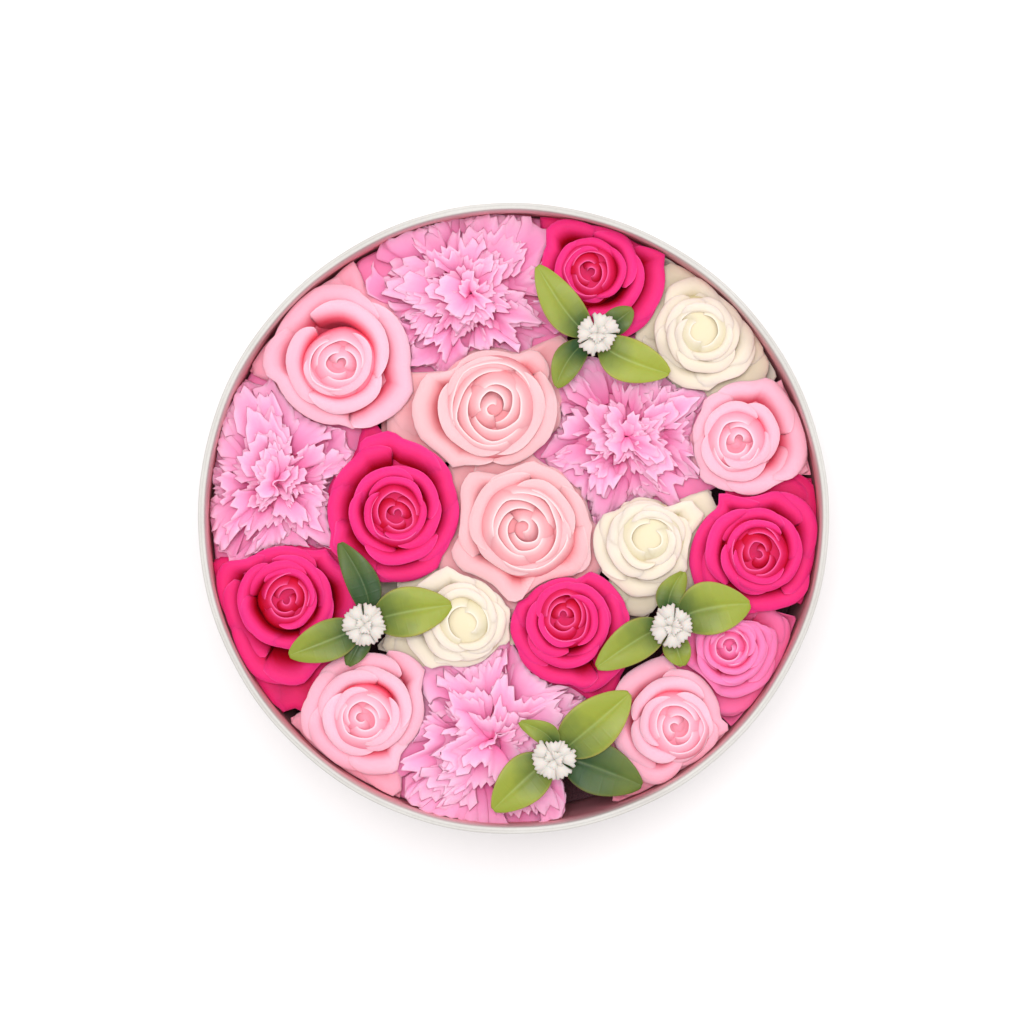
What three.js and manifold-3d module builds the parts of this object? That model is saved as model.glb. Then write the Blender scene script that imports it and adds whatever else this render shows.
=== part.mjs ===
// A round hat box of soap flowers: an open card box, a foam disc that fills its lower half, and fifteen
// roses, four carnations and four leafy sprigs that stand in holes in the foam. Millimetres, +Z up.
// The origin is the centre of the box's underside. Every bloom keeps to its own cell of the box's plan, so
// neighbouring petals crowd together without crossing.
import * as THREE from "three";
import Module from "manifold-3d";

const wasm = await Module();
wasm.setup();

// The box, its foam and how high the flowers stand
const BOX_RADIUS = 120;
const BOX_HEIGHT = 100;
const WALL = 2.6;
const WALL_SIDES = 64;
const BASE_THICK = 3;
const BASE_SIDES = 32;
const GAP = 0.3;
const INNER_RADIUS = BOX_RADIUS - WALL;
const FOAM_TOP = 46;
const FOAM_BOTTOM = BASE_THICK + GAP;
const FOAM_SIDES = 40;
const STUB_DEPTH = 16;
const STUB_RADIUS = 4;
const STEM_RADIUS = 1.1;
const CALYX_HEIGHT = 11;
const STEM_SIDES = 6;
const SEAT = FOAM_TOP + GAP + CALYX_HEIGHT;
const CROWN = 100.2;
const CROWN_FALL = 5;

// How petals and leaves are cut
const PETAL_THICK = 0.8;
const PETAL_COLS = 3;
const PETAL_ROWS = 2;
const LEAF_THICK = 0.8;
const LEAF_COLS = 2;
const LEAF_ROWS = 5;
const LEAF_WAVE = 0.7;
const LOOSE_TUCK = 1.5;
const FOLD_TUCK = 0.6;
const FOLD_THICK = 1;
const FOLD_SHARE = 0.45;
const FOLD_POINTS = 4;
const SCROLL_THICK = 1;
const FRILL_THICK = 1.1;
const CELL_CLEAR = 0.75;
const SPREAD = 1.32;
const STEM_ROOM = 2.6;
const DEG = Math.PI / 180;

// Colours, by kind of flower
const COLOURS = {
  rose_light: 0xf9c3d6,
  rose_peach: 0xf8cfd0,
  rose_rosy: 0xf29cc4,
  rose_hot: 0xf0297f,
  rose_ivory: 0xf5f2dc,
  carnation: 0xf3a2cf,
  leaf: 0x86a83a,
  floret: 0xf2f1ea,
  calyx: 0x3f5a36,
  foam: 0x5b3b40,
  paper: 0xe6e0d6,
};

// A bloom is a core, whose surface folds into rings of petals towards the eye, and a rose has loose outer
// petals round it. A ring of petals: how many, how far out the lip reaches, where it leaves the core, how
// high its lip stands and how far over it bends. Reaches and heights are shares of the bloom's half width and
// height.
const LARGE_ROSE = {
  outer: { count: 5, half: 43, reach: 1, foot: 0.47, flare: 0.95, low: 0.3, high: 0.83, bend: 112 },
  folds: [
    { count: 4, shift: 0.5, reach: 0.76, foot: 0.66, flare: 1.7, low: 0.44, high: 0.91, bend: 110 },
    { count: 3, shift: 0.2, reach: 0.52, foot: 0.72, flare: 1.7, low: 0.56, high: 0.97, bend: 98 },
  ],
};
const SMALL_ROSE = {
  outer: { count: 5, half: 43, reach: 1, foot: 0.47, flare: 0.95, low: 0.3, high: 0.82, bend: 108 },
  folds: [{ count: 4, shift: 0.5, reach: 0.68, foot: 0.7, flare: 1.7, low: 0.44, high: 0.94, bend: 104 }],
};
const CARNATION = {
  folds: [
    { count: 6, points: 6, reach: 0.97, low: 0.42, high: 0.7, wave: 0.035 },
    { count: 5, points: 6, reach: 0.76, low: 0.5, high: 0.84, wave: 0.05 },
    { count: 5, points: 4, reach: 0.54, low: 0.6, high: 0.93, wave: 0.045 },
    { count: 3, points: 4, reach: 0.3, low: 0.72, high: 0.99, wave: 0.03 },
  ],
};

// The two turns of rolled petals in a rose's eye
const WIDE_SCROLL = { from: 0.23, to: 0.34, low: 0.66, high: 0.97, points: 9 };
const TIGHT_SCROLL = { from: 0.11, to: 0.22, low: 0.72, high: 0.95, points: 7 };

// The core's foot and its widest place, as shares
const FOOT_SHARE = 0.27;
const ROSE_BELLY = { share: 0.56, high: 0.34, sides: 10 };
const CARNATION_BELLY = { share: 0.5, high: 0.34, sides: 12 };
const TOOTH = 0.1;

// The blooms of each kind: the place in the plan, the half widths along X and Y, where the eye lies off that
// centre, the azimuth of the first outer petal and which way the petals wind
const FLOWERS = [
  {
    label: "rose_light",
    form: LARGE_ROSE,
    blooms: [
      { at: [-65.4, 62.1], half: [29.5, 29.5], eye: [-3, -1.9], turn: 60, hand: 1 },
      { at: [88.8, 30.3], half: [22.7, 23.1], eye: [-2.3, 0], turn: 100, hand: 1 },
      { at: [-57.1, -72.4], half: [27.6, 27.2], eye: [1.2, -1.9], turn: 200, hand: 1 },
      { at: [58.6, -77.0], half: [22.7, 24.2], eye: [2.2, -2.3], turn: 150, hand: -1 },
    ],
  },
  {
    label: "rose_peach",
    form: LARGE_ROSE,
    blooms: [
      { at: [-8.7, 43.6], half: [29.5, 25.3], eye: [0.4, -0.4], turn: 165, hand: -1 },
      { at: [3.8, -4.4], half: [26.1, 25.7], eye: [1.1, 1.5], turn: 20, hand: -1 },
    ],
  },
  {
    label: "rose_hot",
    form: LARGE_ROSE,
    blooms: [
      { at: [34.0, 92.0], half: [27.2, 23.4], eye: [-3.8, 2.2], turn: 30, hand: 1 },
      { at: [-46.5, 3.1], half: [25.7, 29.9], eye: [1.5, -0.3], turn: 80, hand: 1 },
      { at: [-86.5, -36.9], half: [26.5, 27.2], eye: [-0.4, 5.6], turn: 282, hand: 1 },
      { at: [20.8, -42.2], half: [21.9, 26.5], eye: [0, 3.4], turn: 95, hand: -1 },
      { at: [91.5, -16.1], half: [23.8, 27.2], eye: [3, 3.4], turn: 332, hand: 1 },
    ],
  },
  {
    label: "rose_rosy",
    form: SMALL_ROSE,
    blooms: [{ at: [83.5, -51.7], half: [17, 17.4], eye: [-0.7, 3], turn: 262, hand: 1 }],
  },
  {
    label: "rose_ivory",
    form: SMALL_ROSE,
    blooms: [
      { at: [71.8, 69.7], half: [18.5, 22.3], eye: [0.4, 1.1], turn: 40, hand: 1 },
      { at: [49.9, -9.0], half: [19.3, 19.7], eye: [1.9, 0.8], turn: 130, hand: -1 },
      { at: [-20.0, -39.9], half: [20.4, 21.5], eye: [1.5, 1.1], turn: 215, hand: 1 },
    ],
  },
  {
    label: "carnation",
    form: CARNATION,
    blooms: [
      { at: [-19.3, 87.0], half: [30.2, 28.7], eye: [3, -1], turn: 12 },
      { at: [-93.7, 17.5], half: [22.7, 32.5], eye: [3, -3], turn: 40 },
      { at: [43.5, 31.1], half: [26.1, 28.0], eye: [0, 0], turn: 75 },
      { at: [-7.9, -84.5], half: [32.5, 30.2], eye: [0, 0], turn: 17 },
    ],
  },
];

// Each sprig: where its stem stands and its leaves, as the end of the leaf stalk, the tip, the width and how
// far the leaf lies below the topmost ones
const SPRIGS = [
  {
    name: "sprig_1",
    at: [31.7, 69.3],
    leaves: [
      { stalk: [23.1, 70.0], tip: [9.1, 95.7], width: 12.5, drop: 0 },
      { stalk: [34.8, 61.0], tip: [59.3, 54.9], width: 14.4, drop: 0 },
      { stalk: [20.8, 64.5], tip: [16.3, 50.0], width: 10, drop: 1.5 },
      { stalk: [37.4, 73.1], tip: [45.4, 79.5], width: 8.6, drop: 1.5 },
    ],
  },
  {
    name: "sprig_2",
    at: [-55.9, -40.3],
    leaves: [
      { stalk: [-51.0, -30.7], tip: [-65.8, -9.3], width: 10.6, drop: 2.5 },
      { stalk: [-48.0, -35.8], tip: [-23.4, -32.8], width: 16.3, drop: 0 },
      { stalk: [-62.7, -43.7], tip: [-85.0, -52.0], width: 13.2, drop: 0 },
      { stalk: [-57.1, -45.9], tip: [-62.8, -56.1], width: 7.6, drop: 3 },
    ],
  },
  {
    name: "sprig_3",
    at: [60.5, -40.7],
    leaves: [
      { stalk: [52.9, -40.6], tip: [31.7, -56.6], width: 13.2, drop: 0 },
      { stalk: [66.8, -33.0], tip: [89.9, -32.4], width: 17.4, drop: 0 },
      { stalk: [55.9, -31.0], tip: [64.6, -20.3], width: 9, drop: 1.5 },
      { stalk: [61.1, -47.9], tip: [64.6, -56.1], width: 9, drop: 2.5 },
    ],
  },
  {
    name: "sprig_4",
    at: [15.9, -90.6],
    leaves: [
      { stalk: [22.3, -85.7], tip: [44.2, -66.4], width: 17.0, drop: 0 },
      { stalk: [24.6, -91.5], tip: [49.1, -101.7], width: 17.0, drop: 3.5 },
      { stalk: [10.2, -92.5], tip: [-7.6, -110.6], width: 15.5, drop: 0 },
      { stalk: [17.8, -81.5], tip: [2.6, -77.0], width: 7.6, drop: -2 },
    ],
  },
];
const LEAF_LEVEL = 99.5;
const FLORET_LEVEL = 99.5;
const FLORET_RADIUS = 9;

// The same number from 0 to 1 for the same two numbers, so that every build has the same small differences
function chance(a, b) {
  const s = Math.sin(a * 12.9898 + b * 78.233) * 43758.5453;
  return s - Math.floor(s);
}

// A closed solid from flat lists of coordinates and corner numbers
function solidFrom(coords, corners) {
  const made = (triVerts) =>
    new wasm.Manifold(new wasm.Mesh({ numProp: 3, vertProperties: new Float32Array(coords), triVerts }));
  const solid = made(new Uint32Array(corners));
  return solid.volume() > 0 ? solid : made(new Uint32Array(corners).reverse());
}

// A blade round the middle surface point(u, v), with u from -1 to 1 across it and v from 0 to 1 along it.
// Both faces are split into triangles alike, so that a waved blade can't cross itself.
function blade(point, cols, rows, thick) {
  const stepU = 1.6 / cols;
  const stepV = 0.8 / rows;
  const coords = [];
  const corners = [];
  const at = (side, i, j) => side * (cols + 1) * (rows + 1) + j * (cols + 1) + i;
  for (const side of [0, 1]) {
    for (let j = 0; j <= rows; j++) {
      for (let i = 0; i <= cols; i++) {
        const u = (2 * i) / cols - 1;
        const v = j / rows;
        const p = point(u, v);
        const across = point(Math.min(u + stepU, 1), v).sub(point(Math.max(u - stepU, -1), v));
        const along = point(u, Math.min(v + stepV, 1)).sub(point(u, Math.max(v - stepV, 0)));
        const normal = across.cross(along).normalize();
        p.addScaledVector(normal, (side ? 0.5 : -0.5) * thick);
        coords.push(p.x, p.y, p.z);
      }
    }
  }
  const quad = (a, b, c, d) => corners.push(a, b, c, a, c, d);
  for (let j = 0; j < rows; j++) {
    for (let i = 0; i < cols; i++) {
      quad(at(1, i, j), at(1, i + 1, j), at(1, i + 1, j + 1), at(1, i, j + 1));
      corners.push(at(0, i, j), at(0, i + 1, j + 1), at(0, i + 1, j));
      corners.push(at(0, i, j), at(0, i, j + 1), at(0, i + 1, j + 1));
    }
  }
  for (let i = 0; i < cols; i++) {
    quad(at(0, i, 0), at(0, i + 1, 0), at(1, i + 1, 0), at(1, i, 0));
    quad(at(1, i, rows), at(1, i + 1, rows), at(0, i + 1, rows), at(0, i, rows));
  }
  for (let j = 0; j < rows; j++) {
    quad(at(1, 0, j), at(1, 0, j + 1), at(0, 0, j + 1), at(0, 0, j));
    quad(at(0, cols, j), at(0, cols, j + 1), at(1, cols, j + 1), at(1, cols, j));
  }
  return solidFrom(coords, corners);
}

// A closed solid from loops of points, which may have different numbers of points, with a point at each end.
// A strip that runs down is split the other way round from one that runs up, so that the two faces of a thin
// petal are split alike and can't cross.
function stack(loops, first, last) {
  const coords = [first, ...loops.flat(), last].flatMap((p) => [p.x, p.y, p.z]);
  const level = (loop) => loop.reduce((sum, p) => sum + p.z, 0) / loop.length;
  const corners = [];
  let start = 1;
  for (let k = 0; k < loops[0].length; k++) {
    corners.push(0, 1 + ((k + 1) % loops[0].length), 1 + k);
  }
  for (let j = 0; j + 1 < loops.length; j++) {
    const n = loops[j].length;
    const m = loops[j + 1].length;
    const tie = level(loops[j + 1]) > level(loops[j]) ? 0.5 : -0.5;
    const low = (i) => start + (i % n);
    const high = (i) => start + n + (i % m);
    for (let a = 0, b = 0; a < n || b < m; ) {
      if (b === m || (a < n && (a + 1) * m < (b + 1) * n + tie)) {
        corners.push(low(a), low(a + 1), high(b));
        a++;
      } else {
        corners.push(low(a), high(b + 1), high(b));
        b++;
      }
    }
    start += n;
  }
  const end = loops[loops.length - 1].length;
  for (let k = 0; k < end; k++) {
    corners.push(start + k, start + ((k + 1) % end), start + end);
  }
  return solidFrom(coords, corners);
}

// A solid as a geometry that three.js draws
function geometryOf(solid) {
  const mesh = solid.getMesh();
  const geometry = new THREE.BufferGeometry();
  geometry.setAttribute("position", new THREE.BufferAttribute(mesh.vertProperties, 3));
  geometry.setIndex(new THREE.BufferAttribute(mesh.triVerts, 1));
  const flat = geometry.toNonIndexed();
  flat.computeVertexNormals();
  return flat;
}

function fuse(solids) {
  return wasm.Manifold.union(solids).simplify(0.05);
}

// How tall a bloom is: the crowns follow a shallow dome, highest in the middle of the box
function tallness(bloom) {
  const out = Math.hypot(...bloom.at) / BOX_RADIUS;
  return CROWN - CROWN_FALL * out * out - SEAT;
}

// How far a bloom may reach from its centre in a direction: to the line that it shares with each neighbour,
// which lies nearer the smaller one, short of the stem of each sprig, and to the box's wall
const BLOOMS = FLOWERS.flatMap(({ label, form, blooms }) =>
  blooms.map((bloom, i) => {
    const name = `${label}_${i + 1}`;
    return { ...bloom, name, colour: label, form, tall: tallness(bloom) };
  }),
);
const roomOf = (bloom) => (bloom.half[0] + bloom.half[1]) / 2;
function cellReach(bloom, angle) {
  const [x, y] = bloom.at;
  const ux = Math.cos(angle);
  const uy = Math.sin(angle);
  const wall = INNER_RADIUS - CELL_CLEAR - GAP;
  const along = x * ux + y * uy;
  const limits = [-along + Math.sqrt(along * along + wall * wall - x * x - y * y)];
  const cut = (at, lineAt) => {
    const dx = at[0] - x;
    const dy = at[1] - y;
    const apart = Math.hypot(dx, dy);
    const facing = (dx * ux + dy * uy) / apart;
    if (facing > 0.05) limits.push(lineAt(apart) / facing);
  };
  for (const other of BLOOMS) {
    const shared = (apart) => (apart + (roomOf(bloom) ** 2 - roomOf(other) ** 2) / apart) / 2 - CELL_CLEAR;
    if (other !== bloom) cut(other.at, shared);
  }
  for (const sprig of SPRIGS) {
    cut(sprig.at, (apart) => apart - STEM_ROOM);
  }
  return Math.min(...limits);
}

// A bloom's own outline: an ellipse, held inside its cell
function outline(bloom, angle) {
  const [a, b] = bloom.half;
  const ellipse = (a * b) / Math.hypot(b * Math.cos(angle), a * Math.sin(angle));
  return Math.min(ellipse * SPREAD, cellReach(bloom, angle));
}

// From shares of the bloom's reach and height to a point over its seat. The eye lies off the centre, and the
// inner petals go with it.
function place(bloom, share, angle, high) {
  const inward = 1 - share * share;
  const reach = share * (roomOf(bloom) * inward + outline(bloom, angle) * (1 - inward));
  return new THREE.Vector3(
    bloom.eye[0] * (1 - share) + Math.cos(angle) * reach,
    bloom.eye[1] * (1 - share) + Math.sin(angle) * reach,
    high * bloom.tall,
  );
}

// The surface that the petals of one ring lie in: it leaves the core, rises like the side of a cup, and its
// lip bends over outwards
function cupSurface(bloom, ring, angle, grow) {
  const share = ring.reach * (ring.foot + (1 - ring.foot) * grow ** ring.flare);
  const high = ring.low + (ring.high - ring.low) * Math.sin(ring.bend * DEG * grow);
  return place(bloom, share, angle, high);
}

// A point of a petal, with u from -1 to 1 across it: a rounded cut of the ring's surface, moved along the
// normal. One side is tucked behind the next petal, which keeps the two from crossing.
function petalPoint(bloom, ring, middle, half, u, v, out, tuck) {
  const grow = v * (1 - 0.14 * Math.abs(u) ** 3 - 0.06 * chance(middle, ring.reach));
  const angle = (middle + half * u) * DEG;
  const p = cupSurface(bloom, ring, angle, grow);
  const around = cupSurface(bloom, ring, angle + 0.2, grow).sub(cupSurface(bloom, ring, angle - 0.2, grow));
  const along = cupSurface(bloom, ring, angle, Math.min(grow + 0.35, 1));
  along.sub(cupSurface(bloom, ring, angle, Math.max(grow - 0.35, 0)));
  return p.addScaledVector(around.cross(along).normalize(), out + tuck * u * bloom.hand * Math.min(1, 2 * v));
}

// A loose outer petal of a rose
function outerPetal(bloom, ring, k) {
  const middle = bloom.turn + (360 / ring.count) * k;
  const point = (u, v) => petalPoint(bloom, ring, middle, ring.half * (0.72 + 0.28 * v), u, v, 0, LOOSE_TUCK);
  return blade(point, PETAL_COLS, PETAL_ROWS, PETAL_THICK);
}

// A loop along a ring of petals that are folded out of the core, at one height on their outer or inner face.
// It starts at the point nearest the bloom's first azimuth, like every other loop.
function foldLoop(bloom, ring, v, out) {
  const each = 360 / ring.count;
  const sides = ring.count * FOLD_POINTS;
  const first = Math.round((0.5 - ring.shift) * FOLD_POINTS);
  return Array.from({ length: sides }, (_, n) => {
    const i = (n + first) % sides;
    const u = (2 * (i % FOLD_POINTS)) / (FOLD_POINTS - 1) - 1;
    const middle = bloom.turn + each * (Math.floor(i / FOLD_POINTS) + ring.shift);
    return petalPoint(bloom, ring, middle, each * FOLD_SHARE, u, v, out, FOLD_TUCK);
  });
}

// A loop of one turn of the scroll of petals in the eye
function scrollLoop(bloom, scroll, inward, high) {
  return Array.from({ length: scroll.points }, (_, i) => {
    const w = i / (scroll.points - 1);
    const around = bloom.hand > 0 ? w : 1 - w;
    const share = scroll.from + (scroll.to - scroll.from) * around - inward / roomOf(bloom);
    return place(bloom, share, (bloom.turn + 352 * w) * DEG, high);
  });
}

// An even loop round a bloom
function plainLoop(bloom, share, high, sides) {
  return Array.from({ length: sides }, (_, k) =>
    place(bloom, share, (bloom.turn + (360 / sides) * k) * DEG, high),
  );
}

// The first two loops of a core: its flat foot and its belly
function baseLoops(bloom, belly) {
  return [plainLoop(bloom, FOOT_SHARE, 0, 8), plainLoop(bloom, belly.share, belly.high, belly.sides)];
}

// A rose's core: a foot, then each ring of petals up its outer face, over the lip and down its inner face
// into the cleft before the next, and in the eye two turns of rolled petals round a hollow
function roseCore(bloom) {
  const half = FOLD_THICK / 2;
  const loops = baseLoops(bloom, ROSE_BELLY);
  for (const ring of bloom.form.folds) {
    loops.push(
      plainLoop(bloom, ring.reach * ring.foot, ring.low, ROSE_BELLY.sides),
      foldLoop(bloom, ring, 0.5, half),
      foldLoop(bloom, ring, 1, half),
      foldLoop(bloom, ring, 1, -half),
      foldLoop(bloom, ring, 0.5, -half),
    );
  }
  const between = (SCROLL_THICK + (WIDE_SCROLL.to - TIGHT_SCROLL.to) * roomOf(bloom)) / 2;
  loops.push(
    plainLoop(bloom, WIDE_SCROLL.to + 0.015, WIDE_SCROLL.low, 8),
    scrollLoop(bloom, WIDE_SCROLL, 0, WIDE_SCROLL.high),
    scrollLoop(bloom, WIDE_SCROLL, SCROLL_THICK, WIDE_SCROLL.high),
    scrollLoop(bloom, WIDE_SCROLL, between, TIGHT_SCROLL.low),
    scrollLoop(bloom, TIGHT_SCROLL, 0, TIGHT_SCROLL.high),
    scrollLoop(bloom, TIGHT_SCROLL, SCROLL_THICK, TIGHT_SCROLL.high),
  );
  return stack(loops, place(bloom, 0, 0, 0), place(bloom, 0, 0, TIGHT_SCROLL.low + 0.08));
}

// A rose: its core with a ring of loose outer petals rooted in the belly
function roseHead(bloom) {
  const ring = bloom.form.outer;
  return fuse([roseCore(bloom), ...Array.from({ length: ring.count }, (_, k) => outerPetal(bloom, ring, k))]);
}

// A loop along the toothed, waved edge of a ring of carnation petals
function frillLoop(bloom, ring, ringNumber, drop) {
  const sides = ring.count * ring.points;
  const first = Math.round((0.5 - 0.4 * ringNumber) * ring.points) + sides;
  return Array.from({ length: sides }, (_, n) => {
    const i = (n + first) % sides;
    const k = Math.floor(i / ring.points);
    const u = (2 * (i % ring.points)) / (ring.points - 1) - 1;
    const jitter = chance(ringNumber + 5 * k, bloom.turn + 1) - 0.5;
    const tooth = TOOTH * ((i % 2) + 0.6 * chance(i, bloom.turn)) + 0.05 * u * u;
    const angle = bloom.turn + (360 / ring.count) * (k + 0.4 * ringNumber + 0.47 * u);
    const wave = ring.wave * (Math.sin(3.1 * u + 9 * jitter) + 0.8 * u);
    return place(bloom, ring.reach * (1 - tooth), angle * DEG, ring.high + wave - drop / bloom.tall);
  });
}

// A carnation is one body: ring upon ring of fans with clefts between them
function carnationHead(bloom) {
  const loops = baseLoops(bloom, CARNATION_BELLY);
  bloom.form.folds.forEach((ring, n) => {
    loops.push(frillLoop(bloom, ring, n, FRILL_THICK), frillLoop(bloom, ring, n, 0));
    const next = bloom.form.folds[n + 1];
    if (next) loops.push(plainLoop(bloom, next.reach * 0.66, ring.low + 0.08, CARNATION_BELLY.sides));
  });
  return stack(loops, place(bloom, 0, 0, 0), place(bloom, 0, 0, 0.8));
}

// A leaf: a folded, pointed blade with a waved edge, on a narrow stalk that leaves the stem
function leafBlade(sprig, leaf) {
  const level = LEAF_LEVEL - leaf.drop;
  const from = (point, z) => new THREE.Vector3(point[0] - sprig.at[0], point[1] - sprig.at[1], z);
  const root = new THREE.Vector3(0, 0, level - 4.5);
  const tip = from(leaf.tip, level - 0.5);
  const curve = new THREE.QuadraticBezierCurve3(root, from(leaf.stalk, level + 0.5), tip);
  const side = tip.clone().sub(root).setZ(0).normalize().cross(new THREE.Vector3(0, 0, -1));
  const point = (u, v) => {
    const swell = Math.sin(Math.PI * Math.max((v - 0.12) / 0.88, 0) ** 0.85);
    const half = 0.5 + (leaf.width / 2 - 0.5) * Math.max(swell, 0);
    const p = curve.getPoint(v).addScaledVector(side, u * half);
    p.z += Math.abs(u) * (0.16 * half + LEAF_WAVE * Math.sin(9 * v + u) * Math.min(1, 3 * v));
    return p;
  };
  return blade(point, LEAF_COLS, LEAF_ROWS, LEAF_THICK);
}

// Points evenly round the Z axis
function evenRing(radius, sides, z) {
  return Array.from({ length: sides }, (_, k) => {
    const angle = (360 / sides) * k * DEG;
    return new THREE.Vector3(radius * Math.cos(angle), radius * Math.sin(angle), z);
  });
}

// A solid of flat sides round the Z axis, through rings given as radius and height
function turned(levels, sides) {
  const rings = levels.map(([radius, z]) => evenRing(radius, sides, z));
  const axisPoint = ([, z]) => new THREE.Vector3(0, 0, z);
  return stack(rings, axisPoint(levels[0]), axisPoint(levels[levels.length - 1]));
}

// A cluster of tiny white flowers: two rings of lobes with toothed ends round a small hollow
function floretCluster() {
  const loop = (radius, z, lobes, points, deep) =>
    Array.from({ length: lobes * points }, (_, i) => {
      const u = (2 * (i % points)) / (points - 1) - 1;
      const angle = (360 / lobes) * (Math.floor(i / points) + 0.3 * lobes + 0.4 * u) * DEG;
      const r = radius - deep * (i % 2) - 0.06 * radius * u * u;
      return new THREE.Vector3(r * Math.cos(angle), r * Math.sin(angle), z + 0.5 * deep * (i % 2));
    });
  const loops = [
    loop(1.8, 0, 3, 2, 0),
    loop(FLORET_RADIUS, 3.4, 7, 4, 1.5),
    loop(FLORET_RADIUS - 0.4, 4.3, 7, 4, 1.5),
    loop(3.4, 2.6, 4, 2, 0),
    loop(5, 5.2, 4, 4, 1.2),
    loop(4.5, 6, 4, 4, 1.2),
    loop(1.4, 4, 3, 2, 0),
  ];
  return stack(loops, new THREE.Vector3(0, 0, 0), new THREE.Vector3(0, 0, 4.2));
}

function material(colour, roughness = 0.6) {
  return new THREE.MeshStandardMaterial({ color: COLOURS[colour], roughness, metalness: 0 });
}

function mesh(name, geometry, colour, roughness) {
  const made = new THREE.Mesh(geometry, material(colour, roughness));
  made.name = name;
  return made;
}

function latheSolid(points, segments) {
  return new THREE.LatheGeometry(
    points.map(([r, z]) => new THREE.Vector2(r, z)),
    segments,
  ).rotateX(Math.PI / 2);
}

const flowerBox = new THREE.Group();

// The card wall, a plain tube with a flat rim, and the base disc glued inside its foot
function addBox() {
  const wall = latheSolid(
    [
      [INNER_RADIUS, 0],
      [BOX_RADIUS, 0],
      [BOX_RADIUS, BOX_HEIGHT],
      [INNER_RADIUS, BOX_HEIGHT],
      [INNER_RADIUS, 0],
    ],
    WALL_SIDES,
  );
  const base = latheSolid(
    [
      [0, 0],
      [INNER_RADIUS - GAP, 0],
      [INNER_RADIUS - GAP, BASE_THICK],
      [0, BASE_THICK],
    ],
    BASE_SIDES,
  );
  flowerBox.add(mesh("box_wall", wall, "paper", 0.8), mesh("box_base", base, "paper", 0.8));
}

// The foam disc, with a plain blind hole for each stub and stem
function addFoam() {
  const radius = INNER_RADIUS - 2 * GAP;
  const disc = turned([[radius, FOAM_BOTTOM], [radius, FOAM_TOP]], FOAM_SIDES);
  const hole = (at, held) => {
    const wide = (held + GAP) / Math.cos(Math.PI / STEM_SIDES);
    const floor = FOAM_TOP - STUB_DEPTH - GAP;
    return turned([[wide, floor], [wide, FOAM_TOP + 5]], STEM_SIDES).translate(at[0], at[1], 0);
  };
  const holes = [
    ...BLOOMS.map((bloom) => hole(bloom.at, STUB_RADIUS)),
    ...SPRIGS.map((sprig) => hole(sprig.at, STEM_RADIUS)),
  ];
  flowerBox.add(mesh("foam_disc", geometryOf(disc.subtract(fuse(holes))), "foam", 0.95));
}

// A green cup under each bloom, with a stub that stands in the foam
function calyxSolid(bloom) {
  const cup = FOOT_SHARE * Math.min(...bloom.half);
  return turned([[STUB_RADIUS, -STUB_DEPTH], [STUB_RADIUS, GAP], [cup, CALYX_HEIGHT]], STEM_SIDES);
}

function addBloom(bloom, solid) {
  const group = new THREE.Group();
  group.position.set(bloom.at[0], bloom.at[1], FOAM_TOP);
  const head = mesh(bloom.name, geometryOf(solid), bloom.colour, 0.5);
  head.position.z = SEAT - FOAM_TOP;
  group.add(head, mesh(bloom.name + "_calyx", geometryOf(calyxSolid(bloom)), "calyx", 0.6));
  flowerBox.add(group);
}

function addFlowers() {
  for (const bloom of BLOOMS) {
    addBloom(bloom, bloom.form.outer ? roseHead(bloom) : carnationHead(bloom));
  }
}

// Each sprig: a green stem with its leaves, and a cluster of tiny white flowers on its end
function addSprigs() {
  for (const sprig of SPRIGS) {
    const group = new THREE.Group();
    group.position.set(sprig.at[0], sprig.at[1], 0);
    const ends = [FOAM_TOP - STUB_DEPTH, FLORET_LEVEL - GAP];
    const stem = turned(ends.map((z) => [STEM_RADIUS, z]), STEM_SIDES);
    const leaves = sprig.leaves.map((leaf) => leafBlade(sprig, leaf));
    const green = fuse([stem, ...leaves]);
    const white = mesh(sprig.name + "_florets", geometryOf(floretCluster()), "floret", 0.6);
    white.position.z = FLORET_LEVEL;
    group.add(mesh(sprig.name + "_leaves", geometryOf(green), "leaf", 0.5), white);
    flowerBox.add(group);
  }
}

addBox();
addFoam();
addFlowers();
addSprigs();

export default flowerBox;
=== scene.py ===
import math

import bpy
import numpy as np
from mathutils import Matrix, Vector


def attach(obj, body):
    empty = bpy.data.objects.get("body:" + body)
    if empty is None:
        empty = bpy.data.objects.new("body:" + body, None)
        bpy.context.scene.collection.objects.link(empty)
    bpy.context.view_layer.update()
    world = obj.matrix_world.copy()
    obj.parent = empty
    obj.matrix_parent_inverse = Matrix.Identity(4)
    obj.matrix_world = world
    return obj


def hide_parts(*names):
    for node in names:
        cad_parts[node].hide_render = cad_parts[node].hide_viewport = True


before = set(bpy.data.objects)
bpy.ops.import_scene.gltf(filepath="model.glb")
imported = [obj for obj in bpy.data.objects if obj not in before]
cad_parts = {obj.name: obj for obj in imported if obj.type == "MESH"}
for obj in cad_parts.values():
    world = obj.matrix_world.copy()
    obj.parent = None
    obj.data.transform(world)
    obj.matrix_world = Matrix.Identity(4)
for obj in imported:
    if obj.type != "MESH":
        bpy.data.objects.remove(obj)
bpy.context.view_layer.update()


# The box is a tube of thick grey card, wrapped in off-white laid paper. The paper is pasted round the outside
# with one upright overlap, turned in over the rim and cut off a little way down the inside, and the card
# disc of the bottom is glued in its foot.
MM = 0.001
FULL_TURN = 2 * math.pi
BOX_RADIUS = 120.0
BOX_HEIGHT = 100.0
WALL = 2.6
INNER_RADIUS = BOX_RADIUS - WALL
GAP = 0.3
TURN_IN = 17.0
WALL_STEPS = 288
BASE_STEPS = 192


def chance(a, b=0.0):
    """The same number from 0 to 1 for the same two numbers"""
    s = np.sin(np.asarray(a) * 12.9898 + np.asarray(b) * 78.233) * 43758.5453
    return s - np.floor(s)


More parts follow.
